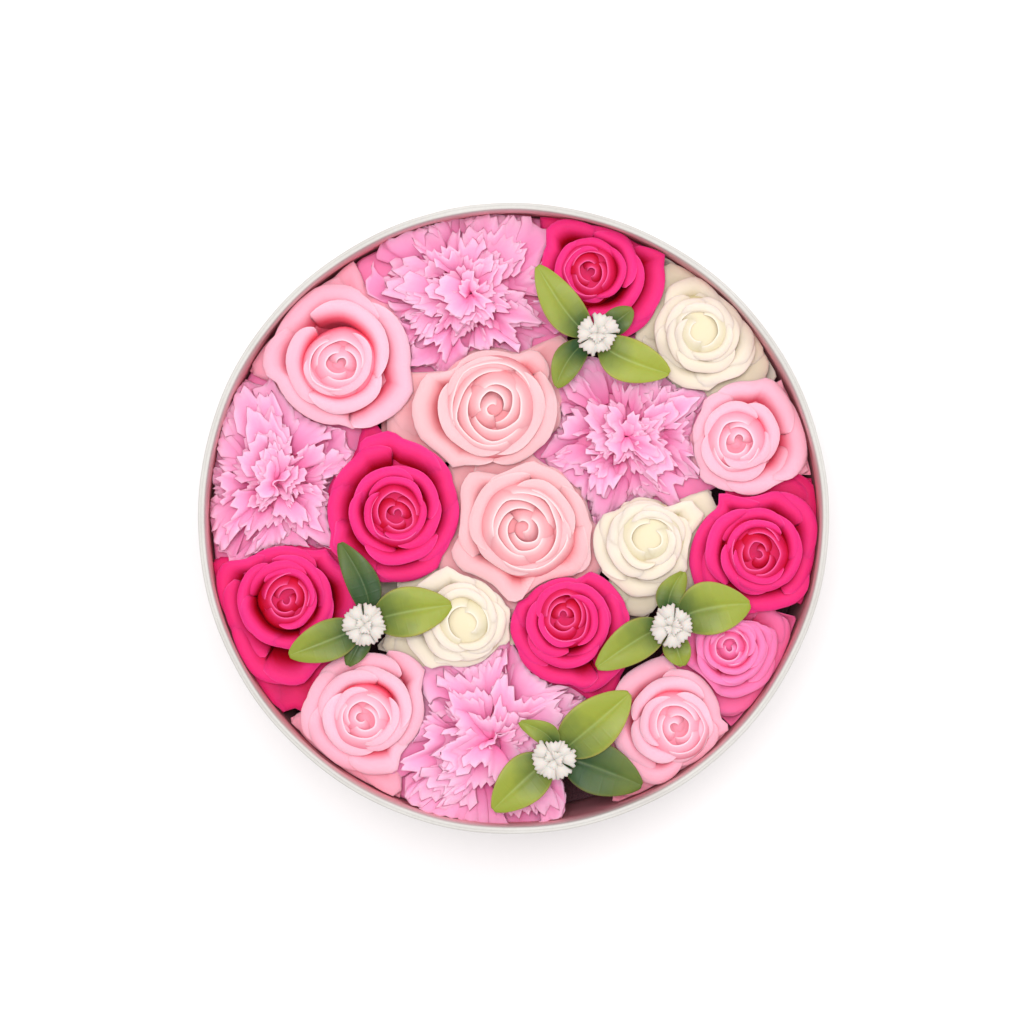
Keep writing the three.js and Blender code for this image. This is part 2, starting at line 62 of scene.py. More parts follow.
def in_scene(name, data):
    """A new object in the scene for a mesh, a lamp or a camera"""
    made = bpy.data.objects.new(name, data)
    bpy.context.scene.collection.objects.link(made)
    return made


def make_piece(name, points, faces, material, paint=None, smooth=True):
    """A mesh object from points in millimetres, with its place in its mesh"""
    mesh = bpy.data.meshes.new(name)
    mesh.from_pydata((np.asarray(points, float) * MM).tolist(), [], [list(map(int, f)) for f in faces])
    mesh.polygons.foreach_set("use_smooth", [smooth] * len(mesh.polygons))
    if paint is not None:
        layer = mesh.attributes.new("paint", "FLOAT_COLOR", "POINT")
        rgba = np.ones((len(points), 4), np.float32)
        rgba[:, :3] = paint
        layer.data.foreach_set("color", rgba.ravel())
    mesh.materials.append(material)
    mesh.validate()
    mesh.update()
    return in_scene(name, mesh)


class Tree:
    """A node tree, with a short way to add its nodes and join them"""

    def __init__(self, tree):
        self.nodes = tree.nodes
        self.links = tree.links

    def put(self, socket, value):
        """An output is linked to the socket, and a colour or any other value is set on it"""
        if isinstance(value, bpy.types.NodeSocket):
            self.links.new(value, socket)
        elif isinstance(value, tuple):
            socket.default_value = (*value, 1.0)
        else:
            socket.default_value = value

    def add(self, kind, given=None, **settings):
        """A node with its settings, and with what its inputs are given"""
        node = self.nodes.new(kind)
        for name, value in settings.items():
            setattr(node, name, value)
        for name, value in (given or {}).items():
            self.put(node.inputs[name], value)
        return node

    def math(self, operation, *values):
        return self.add("ShaderNodeMath", dict(enumerate(values)), operation=operation).outputs[0]

    def times(self, a, b):
        return self.math("MULTIPLY", a, b)


class Paintbox(Tree):
    """The node tree of one material"""

    def __init__(self, name):
        self.material = bpy.data.materials.new(name)
        self.material.use_nodes = True
        super().__init__(self.material.node_tree)
        self.shader = self.nodes["Principled BSDF"]
        self.place = self.add("ShaderNodeTexCoord").outputs["Object"]

    def set(self, **values):
        """Constant values straight on the shader's own sockets"""
        for name, value in values.items():
            self.shader.inputs[name.replace("_", " ")].default_value = value

    def noise(self, scale, detail=3.0, roughness=0.5):
        given = {"Scale": scale, "Detail": detail, "Roughness": roughness, "Vector": self.place}
        return self.add("ShaderNodeTexNoise", given).outputs["Fac"]

    def spread(self, value, low, high, to_low=0.0, to_high=1.0):
        """A value carried from one range to another, and held inside it"""
        given = {"Value": value, "From Min": low, "From Max": high, "To Min": to_low, "To Max": to_high}
        return self.add("ShaderNodeMapRange", given, clamp=True).outputs["Result"]

    def mix(self, share, first, second):
        """A colour that goes from the first to the second as the share goes from 0 to 1"""
        given = {0: share, 6: first, 7: second}
        return self.add("ShaderNodeMix", given, data_type="RGBA", blend_type="MIX").outputs[2]

    def paint(self):
        """The three numbers that a piece's mesh carries at each of its points"""
        carried = self.add("ShaderNodeAttribute", attribute_name="paint").outputs["Color"]
        split = self.add("ShaderNodeSeparateColor", {"Color": carried}).outputs
        return split["Red"], split["Green"], split["Blue"]

    def finish(self, colour, grain, smoothest, roughest, height, depth_mm):
        """Joins the colour, a roughness that follows the grain and the small relief to the shader"""
        bump = self.add("ShaderNodeBump", {"Strength": 1.0, "Distance": depth_mm * MM, "Height": height})
        self.put(self.shader.inputs["Normal"], bump.outputs["Normal"])
        self.put(self.shader.inputs["Base Color"], colour)
        self.put(self.shader.inputs["Roughness"], self.spread(grain, 0.3, 0.7, smoothest, roughest))
        return self.material


def laid_paper():
    box = Paintbox("laid_paper")
    pink_inside_and_bounce, side, _ = box.paint()
    fibres = box.noise(900.0, 4.0, 0.65)
    clouds = box.noise(28.0)
    colour = box.mix(box.spread(clouds, 0.35, 0.65), (0.52, 0.50, 0.475), (0.57, 0.555, 0.53))
    # Painted light: the outer side below the rim is painted paler than the rim, since the same off-white
    # paper gets less light on the side than on the rim from above
    colour = box.mix(side, colour, (0.70, 0.685, 0.655))
    colour = box.mix(box.spread(fibres, 0.45, 0.75, 0.0, 0.3), colour, (0.46, 0.43, 0.41))
    # The inside turns pink below the rim: partly the inner paper's own pink tint, partly painted pink light
    # bounced from the flowers
    colour = box.mix(pink_inside_and_bounce, colour, (0.93, 0.35, 0.41))
    relief = box.math("MULTIPLY_ADD", clouds, 1.4, fibres)
    box.set(Specular_IOR_Level=0.3)
    return box.finish(colour, fibres, 0.72, 0.9, relief, 0.07)


def wall_profile():
    """Radius and height of the paper's surface, from the foot's outside over the rim to the foot's inside"""
    outer = BOX_RADIUS - 0.1
    inner = INNER_RADIUS
    card = INNER_RADIUS + 0.18
    top = BOX_HEIGHT
    edge = top - TURN_IN
    return np.array([
        (outer - 0.6, 0), (outer - 0.15, 0.25), (outer, 0.9), (outer, 25), (outer, 50), (outer, 75),
        (outer, 95), (outer, top - 1.2), (outer - 0.08, top - 0.6), (outer - 0.35, top - 0.2),
        (outer - 0.75, top - 0.04), (outer - 1.0, top - 0.03), (outer - 1.15, top - 0.3),
        (outer - 1.3, top - 0.03), (inner + 0.5, top), (inner + 0.12, top - 0.25), (inner, top - 0.8),
        (inner, top - 6), (inner, edge + 0.3), (inner, edge + 0.02), (card, edge - 0.02), (card, edge - 0.3),
        (card, 60), (card, 30), (card, 0.6), (inner + 0.3, 0.15), (inner + 0.6, 0),
    ])


def turns(steps):
    """Even steps round the full turn"""
    return np.linspace(0, FULL_TURN, steps, endpoint=False)


def around(x, y, turn, reach, z):
    """Points from a direction and a distance from the upright line at x, y, and a height"""
    return np.stack(np.broadcast_arrays(x + reach * np.cos(turn), y + reach * np.sin(turn), z), -1)


def turned_loop(profile, steps, shape):
    """A closed ring swept round the Z axis from a closed profile of radius and height"""
    turn = turns(steps)[:, None]
    radius, height = shape(*(np.repeat(profile[None, :, k], steps, 0) for k in range(2)), turn)
    points = around(0, 0, turn, radius, height)
    grid = np.arange(steps * len(profile)).reshape(steps, -1)
    ahead = np.roll(grid, -1, 0)
    faces = np.stack([grid, ahead, np.roll(ahead, -1, 1), np.roll(grid, -1, 1)], -1)
    return points.reshape(-1, 3), faces.reshape(-1, 4)


def hand_made(radius, height, turn):
    """The rim's small waves, and the overlap of the paper down the back of the wall"""
    near_rim = np.clip((height - 60) / 40, 0, 1) ** 2
    sway = 0.16 * np.sin(3 * turn + 0.6) + 0.12 * np.sin(7 * turn + 2.1) + 0.07 * np.sin(17 * turn)
    lift = 0.14 * np.sin(5 * turn + 1.0) + 0.1 * np.sin(11 * turn + 4.0) - 0.2
    overlap = 0.16 * np.clip((np.cos(turn - math.radians(100)) - 0.9975) * 900, 0, 1)
    outside = radius > INNER_RADIUS + 1.2
    return radius + near_rim * sway - 0.2 * near_rim + overlap * outside, height + near_rim * lift


PAPER = laid_paper()
points, faces = turned_loop(wall_profile(), WALL_STEPS, hand_made)
# The first channel paints the inside pink, partly as painted bounce light from the flowers, fading in below
# the rim
inside = np.hypot(points[:, 0], points[:, 1]) < INNER_RADIUS + 0.4
below_rim = np.clip((BOX_HEIGHT - 1 - points[:, 2]) / 12, 0, 1)
# The second channel paints the outer side paler than the rim, to make up for the weaker light on it
paint = np.stack([below_rim * inside, below_rim * ~inside, below_rim * 0], -1)
wall = make_piece("Box_wall_paper", points, faces, PAPER, paint)
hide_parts("box_wall")
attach(wall, "root")

BASE_RADIUS = INNER_RADIUS - GAP
BASE_THICK = 3.0
BEVEL = 0.4


def solid(rings, foot, top):
    """Points, quads and triangles of a solid: a stack of rings, closed by a point at each end"""
    levels, steps = rings.shape[:2]
    grid = 1 + np.arange(levels * steps).reshape(levels, steps)
    ahead = np.roll(grid, -1, 1)
    last = np.full(steps, grid[-1, -1] + 1)
    quads = np.stack([grid[:-1], ahead[:-1], ahead[1:], grid[1:]], -1).reshape(-1, 4)
    triangles = np.stack([np.concatenate([last * 0, last]), np.concatenate([ahead[0], grid[-1]]),
                          np.concatenate([grid[0], ahead[-1]])], -1)
    return np.concatenate([[foot], rings.reshape(-1, 3), [top]]), quads, triangles


def turned_solid(profile, steps):
    """A solid round the Z axis, from its foot to its top"""
    rings = np.array([around(0, 0, turns(steps), radius, z) for radius, z in profile])
    return solid(rings, (0, 0, profile[0][1]), (0, 0, profile[-1][1]))


profile = [
    (60, 0.15), (BASE_RADIUS - 3, 0.15), (BASE_RADIUS - BEVEL, 0.0), (BASE_RADIUS, BEVEL),
    (BASE_RADIUS, BASE_THICK - BEVEL), (BASE_RADIUS - BEVEL, BASE_THICK), (BASE_RADIUS - 3, BASE_THICK),
    (60, BASE_THICK),
]
points, quads, triangles = turned_solid(profile, BASE_STEPS)
base = make_piece("Box_base_card", points, [*quads, *triangles], PAPER, points * 0, smooth=False)
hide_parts("box_base")
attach(base, "root")


# The foam disc fills the box's lower half. It is fine-celled plastic foam, dull, and painted a very dark
# maroon as painted shade, since it lies deep in the shade under the flowers. It has a hole pressed into it
# for each stub and each stem, and its CAD shape stays as it is.
def foam():
    box = Paintbox("flower_foam")
    cells = box.add("ShaderNodeTexVoronoi", {"Scale": 1100.0, "Vector": box.place}).outputs["Distance"]
    clouds = box.noise(60.0)
    # Painted shade: the foam's colour is darkened to the deep shade of the gaps under the flowers
    colour = box.mix(clouds, (0.085, 0.030, 0.042), (0.15, 0.060, 0.075))
    colour = box.mix(box.spread(cells, 0.0, 0.5, 0.6, 0.0), colour, (0.035, 0.014, 0.02))
    return box.finish(colour, clouds, 0.85, 0.98, cells, 0.5)


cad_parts["foam_disc"].data.materials.clear()
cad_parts["foam_disc"].data.materials.append(foam())


# Under each head is a green plastic cup on a stub, which stands in the foam: a hollow-looking bell with a
# rolled rim and five pointed sepals that hold the lowest petals.
FOAM_TOP = 46.0
STUB_DEPTH = 16.0
STUB_RADIUS = 4.0
STUB_FOOT = FOAM_TOP - STUB_DEPTH
CUP_STEPS = 20
SEPALS = 5
SEPAL_THICK = 0.7

# The heads sit at SEAT and rise to CROWN in the middle of the box, and up to CROWN_FALL less at the wall
SEAT = FOAM_TOP + GAP + 11.0
CROWN = 100.2
CROWN_FALL = 5.0

# Each head's name, where it stands, its half widths, how far its eye lies off its centre and how far it is
# turned. A rose also has the way its petals wind, the side that its bud leans away from, the bud's radius and
# its low, outer, middle and inner petals: the azimuth of each one's middle, its half span and how far its lip
# is from the eye.
TERMS = ("name", "at", "half", "eye", "turn", "hand", "cave", "bud", "low", "outer", "middle", "inner")
HEADS = [dict(zip(TERMS, row)) for row in (
    ("rose_light_1", (-65.4, 62.1), (29.5, 29.5), (-3.0, -1.9), 60, 1, 140, 10.0,
     [(64, 34, 40), (120, 38, 31), (188, 40, 29.5), (228, 36, 31), (268, 34, 36), (-45, 34, 38), (8, 38, 34)],
     [(105, 58, 28.5), (-5, 66, 31.5), (218, 72, 27)],
     [(48, 66, 22.5), (292, 56, 20.5), (190, 66, 18.8)],
     [(-22, 74, 14.6), (248, 66, 13.0)]),
    ("rose_light_2", (88.8, 30.3), (22.7, 23.1), (-2.3, 0.0), 100, 1, 45, 8.6,
     [(72, 30, 34), (112, 34, 25), (168, 38, 22.5), (218, 30, 30), (270, 36, 25), (-50, 36, 25),
      (10, 36, 27)],
     [(225, 62, 21.2), (-58, 48, 22.6), (-2, 50, 25), (66, 56, 24.2), (150, 50, 20.4)],
     [(120, 66, 14.4), (15, 66, 15.2), (245, 72, 16.4)],
     [(-60, 72, 12.2)]),
    ("rose_light_3", (-57.1, -72.4), (27.6, 27.2), (1.2, -1.9), 200, 1, 75, 9.0,
     [(172, 36, 31), (62, 28, 34), (110, 36, 26), (222, 38, 24.5), (262, 34, 24), (-62, 36, 30), (0, 40, 29)],
     [(8, 60, 27.4), (102, 52, 22.6), (172, 44, 24), (226, 50, 22.4), (-68, 44, 23.4)],
     [(45, 66, 18), (-30, 62, 16.4), (215, 70, 17), (135, 60, 18)],
     [(-40, 70, 12.8), (160, 70, 11.6)]),
    ("rose_light_4", (58.6, -77.0), (22.7, 24.2), (2.2, -2.3), 150, -1, 180, 9.4,
     [(106, 32, 30), (150, 34, 27), (190, 34, 23), (240, 34, 25), (-60, 36, 20), (-10, 34, 21),
      (48, 40, 24.5)],
     [(40, 58, 22.8), (124, 46, 25.4), (200, 46, 21.4), (248, 38, 22.8), (-36, 48, 17.8)],
     [(106, 62, 18.6), (222, 56, 15.6), (-42, 60, 14.4), (28, 54, 15.4)],
     [(160, 70, 12.4)]),
    ("rose_peach_1", (-8.7, 43.6), (29.5, 25.3), (0.4, -0.4), 165, -1, 90, 15.6,
     [(-30, 42, 33), (20, 38, 29), (70, 40, 29), (118, 38, 28), (165, 38, 30.5), (205, 36, 31),
      (242, 38, 31), (285, 38, 28)],
     [(196, 72, 28.4), (82, 58, 25), (-28, 60, 25.4)],
     [(112, 62, 18.6), (222, 66, 20.6), (-20, 70, 20.6)],
     []),
    ("rose_peach_2", (3.8, -4.4), (26.1, 25.7), (1.1, 1.5), 20, -1, 90, 14.8,
     [(225, 38, 31), (260, 34, 31), (-60, 38, 28), (-8, 38, 28), (42, 40, 26), (95, 40, 26), (150, 38, 29),
      (188, 36, 29)],
     [(76, 58, 24.4), (160, 48, 26.8), (228, 50, 28.8), (-52, 50, 26), (0, 46, 26)],
     [(148, 60, 22), (225, 60, 19.8), (-50, 60, 18.4), (40, 60, 18.8)],
     []),
    ("rose_hot_1", (34.0, 92.0), (27.2, 23.4), (-3.8, 2.2), 30, 1, 0, 8.6,
     [(165, 34, 26), (120, 36, 24), (62, 38, 21), (2, 30, 33.5), (-28, 34, 33), (-68, 38, 24),
      (-112, 38, 17)],
     [(130, 52, 22.6), (58, 50, 18.8), (-18, 46, 28.4), (-54, 34, 32), (-100, 46, 18)],
     [(178, 62, 14.6), (-118, 58, 11.6), (-36, 58, 19.6), (30, 54, 17.8), (92, 56, 13)],
     [(-10, 66, 12.4), (150, 72, 10.2)]),
    ("rose_hot_2", (-46.5, 3.1), (25.7, 29.9), (1.5, -0.3), 80, 1, 100, 9.2,
     [(165, 36, 29), (205, 36, 28.5), (245, 36, 29), (-80, 34, 30.5), (-50, 34, 28), (0, 38, 25),
      (50, 38, 27), (88, 36, 31), (128, 38, 28)],
     [(90, 46, 29.6), (38, 46, 25.4), (-16, 46, 24), (-64, 42, 27.4), (238, 46, 26.8), (188, 44, 26.8),
      (138, 42, 26.8)],
     [(122, 60, 17), (46, 56, 17.6), (-22, 60, 17), (-80, 48, 20.6), (210, 58, 17.6)],
     [(80, 66, 12.8), (-40, 70, 11.8), (200, 66, 11.8)]),
    ("rose_hot_3", (-86.5, -36.9), (26.5, 27.2), (-0.4, 5.6), 294, 1, 225, 8.4,
     [(160, 36, 28), (205, 36, 25.5), (250, 38, 33), (-68, 38, 34), (-20, 36, 28), (28, 38, 28),
      (90, 42, 22)],
     [(162, 46, 26.6), (98, 48, 20.6), (30, 46, 26.4), (-12, 42, 26.2), (-62, 44, 31), (246, 46, 29.6),
      (204, 44, 23.6)],
     [(175, 56, 18.4), (232, 56, 18.2), (-52, 58, 19), (-5, 58, 18), (48, 58, 17.4), (112, 58, 15.6)],
     [(-28, 72, 11.8), (62, 72, 12.2)]),
    ("rose_hot_4", (20.8, -42.2), (21.9, 26.5), (0.0, 3.4), 95, -1, 300, 8.6,
     [(92, 38, 24), (38, 38, 24), (-10, 38, 23), (-60, 38, 28), (-92, 34, 31), (238, 38, 27),
      (190, 38, 23.5), (138, 36, 22)],
     [(94, 46, 23), (38, 46, 22.6), (-12, 44, 21.6), (-60, 44, 27), (250, 46, 27.4), (198, 46, 22.2),
      (146, 42, 20.6)],
     [(110, 62, 14.6), (38, 60, 16), (-32, 60, 16.4), (-98, 58, 18), (206, 62, 15.6)],
     [(8, 72, 11.6), (220, 70, 10.8)]),
    ("rose_hot_5", (91.5, -16.1), (23.8, 27.2), (3.0, 3.4), 344, 1, 0, 9.6,
     [(178, 36, 29), (136, 38, 30), (85, 38, 24), (38, 38, 25), (-10, 36, 22), (-72, 34, 33),
      (-108, 34, 27), (222, 36, 27)],
     [(180, 48, 27.8), (136, 44, 28.2), (84, 46, 22.6), (36, 44, 23.6), (-14, 44, 20.8), (-68, 50, 22.8),
      (228, 46, 23)],
     [(165, 56, 20.6), (225, 54, 16.4), (-74, 58, 15.6), (-14, 58, 16), (46, 58, 15.4), (104, 56, 16.6)],
     [(-110, 70, 12.2), (120, 74, 12.6)]),
    ("rose_rosy_1", (83.5, -51.7), (17.0, 17.4), (-0.7, 3.0), 274, 1, 90, 6.4,
     [(40, 40, 18), (-12, 40, 19), (-70, 40, 21), (-110, 40, 20.5), (200, 40, 18), (140, 42, 15.5),
      (90, 42, 14.5)],
     [(38, 46, 16.8), (-14, 46, 17.4), (-66, 46, 19.4), (250, 46, 19), (200, 46, 17), (140, 48, 14.2),
      (88, 46, 13)],
     [(70, 56, 11.6), (8, 56, 13.4), (-50, 54, 14.6), (-110, 56, 15), (185, 56, 13), (125, 56, 11.2)],
     [(40, 66, 9.6), (-60, 66, 10.8), (200, 66, 10), (120, 66, 7.8), (-20, 70, 7.8)]),
    ("rose_ivory_1", (71.8, 69.7), (18.5, 22.3), (0.4, 1.1), 40, 1, 0, 9.8,
     [(100, 38, 22.5), (48, 40, 18), (0, 38, 20), (-48, 40, 22), (-92, 38, 25), (222, 40, 20), (170, 42, 19)],
     [(102, 48, 20.8), (46, 50, 17), (-10, 46, 19.2), (-54, 46, 21), (256, 44, 22.8), (212, 46, 17.6),
      (160, 50, 17.4)],
     [(130, 60, 14.2), (50, 60, 13.4), (-20, 60, 14.2), (-84, 58, 15.8), (205, 62, 13.8)],
     [(90, 66, 11.4), (-45, 70, 11.4), (210, 70, 10.8)]),
    ("rose_ivory_2", (49.9, -9.0), (19.3, 19.7), (1.9, 0.8), 130, -1, 0, 9.8,
     [(88, 40, 20), (45, 38, 22.5), (0, 40, 19), (-48, 42, 19), (-100, 42, 22), (215, 40, 23),
      (175, 38, 23), (135, 38, 21)],
     [(90, 48, 18.8), (42, 46, 21.4), (-10, 46, 17), (-60, 48, 18), (242, 46, 21.6), (192, 46, 21.6),
      (140, 46, 19.6)],
     [(115, 60, 15), (50, 60, 14.4), (-20, 60, 12.8), (-85, 60, 14.8), (205, 60, 16.2), (160, 50, 15.6)],
     [(80, 66, 11.2), (-40, 70, 10.4), (210, 70, 12)]),
    ("rose_ivory_3", (-20.0, -39.9), (20.4, 21.5), (1.5, 1.1), 215, 1, 130, 10.4,
     [(115, 40, 24), (72, 38, 18), (20, 40, 19.5), (-26, 38, 21.5), (-78, 42, 23), (232, 40, 24.5),
      (198, 38, 24.5), (158, 40, 22)],
     [(114, 48, 21.6), (66, 46, 15.6), (8, 48, 18.4), (-30, 46, 20.2), (-80, 48, 21.6), (230, 46, 23.2),
      (188, 48, 22.6)],
     [(120, 60, 14.8), (40, 60, 13), (-25, 58, 15.6), (-85, 58, 16), (215, 62, 16.6)],
     [(90, 66, 12), (-30, 70, 12.4), (210, 70, 12.6)]),
    ("carnation_1", (-19.3, 87.0), (30.2, 28.7), (3.0, -1.0), 12),
    ("carnation_2", (-93.7, 17.5), (22.7, 32.5), (3.0, -3.0), 40),
    ("carnation_3", (43.5, 31.1), (26.1, 28.0), (0.0, 0.0), 75),
    ("carnation_4", (-7.9, -84.5), (32.5, 30.2), (0.0, 0.0), 17),
)]


def tallness(head):
    """The crowns follow a shallow dome, highest in the middle of the box"""
    return CROWN - CROWN_FALL * (math.hypot(*head["at"]) / BOX_RADIUS) ** 2 - SEAT


def calyx_plastic():
    box = Paintbox("calyx_plastic")
    clouds = box.noise(120.0)
    colour = box.mix(clouds, (0.035, 0.075, 0.025), (0.06, 0.12, 0.035))
    return box.finish(colour, clouds, 0.4, 0.6, box.noise(700.0), 0.04)


def edged(count, margin):
    """Even steps from -1 to 1, with two more close to each end for a rounded edge"""
    inside = np.linspace(-1 + 3 * margin, 1 - 3 * margin, count)
    ends = np.array([0.0, 0.4, 1.2]) * margin
    return np.concatenate([-1 + ends, inside, (1 - ends)[::-1]])


def spans(across, along):
    """A petal's own grid: u from -1 to 1 across it, and v from 0 at its root to 1 at its lip"""
    return np.meshgrid(across, (along + 1) / 2)


def sheet(points, thick):
    """A closed soft sheet with rounded edges round the middle surface points[row, column]"""
    rows, columns = points.shape[:2]
    normal = np.cross(np.gradient(points, axis=1), np.gradient(points, axis=0))
    normal /= np.linalg.norm(normal, axis=-1, keepdims=True) + 1e-12
    ends = np.ones((rows, columns))
    for lane, size in ((0, 0.0), (1, 0.7), (2, 0.95)):
        for part in (np.s_[lane, :], np.s_[-1 - lane, :], np.s_[:, lane], np.s_[:, -1 - lane]):
            ends[part] = np.minimum(ends[part], size)
    offset = normal * (0.5 * thick * ends)[..., None]
    inside = ends > 0
    front = np.arange(rows * columns).reshape(rows, columns)
    back = front.copy()
    back[inside] = rows * columns + np.arange(inside.sum())
    all_points = np.concatenate([(points + offset).reshape(-1, 3), (points - offset)[inside]])
    front_faces = np.stack([front[:-1, :-1], front[:-1, 1:], front[1:, 1:], front[1:, :-1]], -1)
    back_faces = np.stack([back[:-1, :-1], back[1:, :-1], back[1:, 1:], back[:-1, 1:]], -1)
    faces = np.concatenate([front_faces.reshape(-1, 4), back_faces.reshape(-1, 4)])
    return all_points, faces, np.concatenate([front.ravel(), front[inside]])


class Bundle:
    """Sheets and solids gathered into one piece, with what each point carries for the material"""

    def __init__(self):
        self.points, self.faces, self.paint, self.count = [], [], [], 0

    def add(self, points, paint, *faces):
        self.points.append(points)
        self.paint.append(np.broadcast_to(paint, (len(points), 3)))
        self.faces += [(part + self.count).tolist() for part in faces]
        self.count += len(points)

    def add_sheet(self, points, thick, *paint):
        made, faces, keep = sheet(points, thick)
        carried = np.stack([np.broadcast_to(part, points.shape[:2]) for part in paint], -1)
        self.add(made, carried.reshape(-1, 3)[keep], faces)

    def piece(self, name, material):
        return make_piece(name, np.concatenate(self.points), sum(self.faces, []), material,
                          np.concatenate(self.paint))


def calyx(head, material):
    x, y = head["at"]
    cup = 0.27 * min(head["half"])
    levels = [
        (1.2, STUB_FOOT - 0.2), (STUB_RADIUS - 0.8, STUB_FOOT + 0.3), (STUB_RADIUS, STUB_FOOT + 2),
        (STUB_RADIUS, FOAM_TOP - 1), (STUB_RADIUS + 0.8, FOAM_TOP + 1), (STUB_RADIUS + 0.4, FOAM_TOP + 2),
        (cup * 0.72, SEAT - 6), (cup * 0.95, SEAT - 2.5), (cup, SEAT - 0.8), (cup - 0.5, SEAT - 0.3),
    ]
    points, quads, triangles = turned_solid(levels, CUP_STEPS)
    bundle = Bundle()
    bundle.add(points + np.array([x, y, 0]), 0.5, quads, triangles)
    u, v = spans(edged(5, 0.05), edged(7, 0.04))
    for sepal in range(SEPALS):
        turn = np.radians(head["turn"] + 360 / SEPALS * sepal + 34 * u * (1 - v) ** 0.6)
        reach = cup * 0.9 + 7.5 * v ** 1.3
        height = SEAT - 3.2 + 5.0 * np.sin(1.9 * v)
        bundle.add_sheet(around(x, y, turn, reach, height), SEPAL_THICK, 0.5, 0.5, 0.5)
    made = bundle.piece(head["name"] + "_cup", material)
    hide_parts(head["name"] + "_calyx")
    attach(made, "root")


CALYX_PLASTIC = calyx_plastic()
for head in HEADS:
    calyx(head, CALYX_PLASTIC)


# The roses are soap: thin sheets of it, pressed to petals and rolled by hand. The lips are pale and rolled
# back, with a painted highlight along their edges, and painted shade deepens and saturates the colour down
# into the depths between them. Each head is glued petal by petal from the rolled bud outwards.
def soap(name, lip, deep, edge, glow, veil):
    box = Paintbox(name)
    depth, painted_edge_highlight, tint = box.paint()
    clouds = box.noise(70.0)
    pores = box.noise(1500.0, 2.0)
    # The first channel mixes in the deep colour: painted shade, darkest and most saturated down in the
    # crevices between the petals
    colour = box.mix(box.math("POWER", depth, veil), lip, deep)
    # A painted highlight lightens the lips' edges
    colour = box.mix(box.times(painted_edge_highlight, 0.7), colour, edge)
    colour = box.mix(box.math("ADD", box.times(clouds, 0.10), box.times(tint, 0.10)), colour, deep)
    relief = box.math("MULTIPLY_ADD", clouds, 6.0, pores)
    relief = box.math("MULTIPLY_ADD", box.noise(230.0, 2.0), 3.5, relief)
    box.set(Specular_IOR_Level=0.14, Subsurface_Weight=0.2, Subsurface_Scale=0.003, Subsurface_Radius=glow)
    return box.finish(colour, pores, 0.56, 0.7, relief, 0.03)


# The colours of each kind's lips, of the painted shade in its depths and of the painted highlight on its
# edges, how far light of each colour spreads in it, and how soon the painted shade's colour sets in
SOAPS = {kind: soap(kind + "_rose_soap", *row) for kind, row in {
    "light": ((0.85, 0.53, 0.64), (0.87, 0.11, 0.19), (0.91, 0.68, 0.76), (1.0, 0.35, 0.4), 0.8),
    "peach": ((0.82, 0.575, 0.60), (0.74, 0.16, 0.19), (0.92, 0.79, 0.79), (1.0, 0.4, 0.35), 0.62),
    "hot": ((0.885, 0.036, 0.265), (0.48, 0.001, 0.014), (0.95, 0.15, 0.42), (1.0, 0.15, 0.3), 0.6),
    "rosy": ((0.85, 0.27, 0.54), (0.78, 0.04, 0.16), (0.92, 0.46, 0.66), (1.0, 0.3, 0.4), 0.6),
    "ivory": ((0.735, 0.630, 0.585), (0.66, 0.59, 0.34), (0.83, 0.76, 0.69), (1.0, 0.9, 0.6), 0.7),
}.items()}

# The form of a ring of petals: how much further it reaches than listed, where it leaves the stalk and where
# its lip stands, as shares of the head's height, its foot as a share of its reach, the size of its rolled
# lip beside the kind's own, its thickness in millimetres, and how much painted shade it carries all over,
# most in the low ring, which lies in the shade of the others
RINGS = {
    "low": (1.34, 0.14, 0.70, 0.34, 1.3, 0.9, 0.16),
    "outer": (1.06, 0.24, 0.85, 0.56, 1.0, 0.9, 0.03),
    "middle": (1.0, 0.34, 0.925, 0.66, 0.85, 0.85, 0.0),
    "inner": (1.0, 0.44, 0.96, 0.78, 0.62, 0.75, 0.0),
}

# How wide a kind rolls its outer lips, how far they fall, and how far below them the painted shade is
# deepest, in millimetres
ROLLS = {
    "light": (3.9, 2.4, 5.5), "peach": (3.8, 2.2, 5.5), "hot": (2.7, 2.0, 4.5), "rosy": (2.0, 1.5, 5.0),
    "ivory": (3.8, 1.8, 12.0),
}

# Heads press round ones that come later here: the line between two of them is an arc about the first one's
# middle, and the second one's low petals pass a little way under the first one's lips. Petals keep off the
# wall and the sprigs' stems, the low ones further than the rest. A thing limits the petals in the directions
# that face it by more than LEAST_FACING.
ORDER = ("light", "hot", "rosy", "ivory", "peach", "frill")
PASS_UNDER = 6.0
PASS_BESIDE_FRILL = 1.0
LIP_ROOM = 0.2
WALL_ROOM = 0.5
STEM_ROOM = 2.6
LOW_STEM_ROOM = 8.5
LEAST_FACING = 0.05


def mean_half(head):
    return sum(head["half"]) / 2


def eye_of(head):
    return np.add(head["at"], head["eye"])


def kind_of(head):
    kind = head["name"].split("_")[1]
    return kind if kind in ORDER else "frill"


def presses(head, other):
    """True if the line between the two is round about the first"""
    mine, yours = (ORDER.index(kind_of(each)) for each in (head, other))
    return mine < yours or (mine == yours and HEADS.index(head) < HEADS.index(other))


def low_shift(head, other):
    """How far low petals go past the line shared with another head, or stay back from those that do"""
    if kind_of(other) == "frill":
        return PASS_BESIDE_FRILL
    return -PASS_UNDER - 0.6 if presses(head, other) else PASS_UNDER


def circle_exit(start, way, centre, radius, first):
    """How far a ray from a point goes to a circle: to its near side, or from inside to its far side"""
    back = start - centre
    along = way @ back
    half_chord = np.sqrt(np.maximum(along ** 2 - back @ back + radius ** 2, 0.0))
    return -along - half_chord if first else -along + half_chord


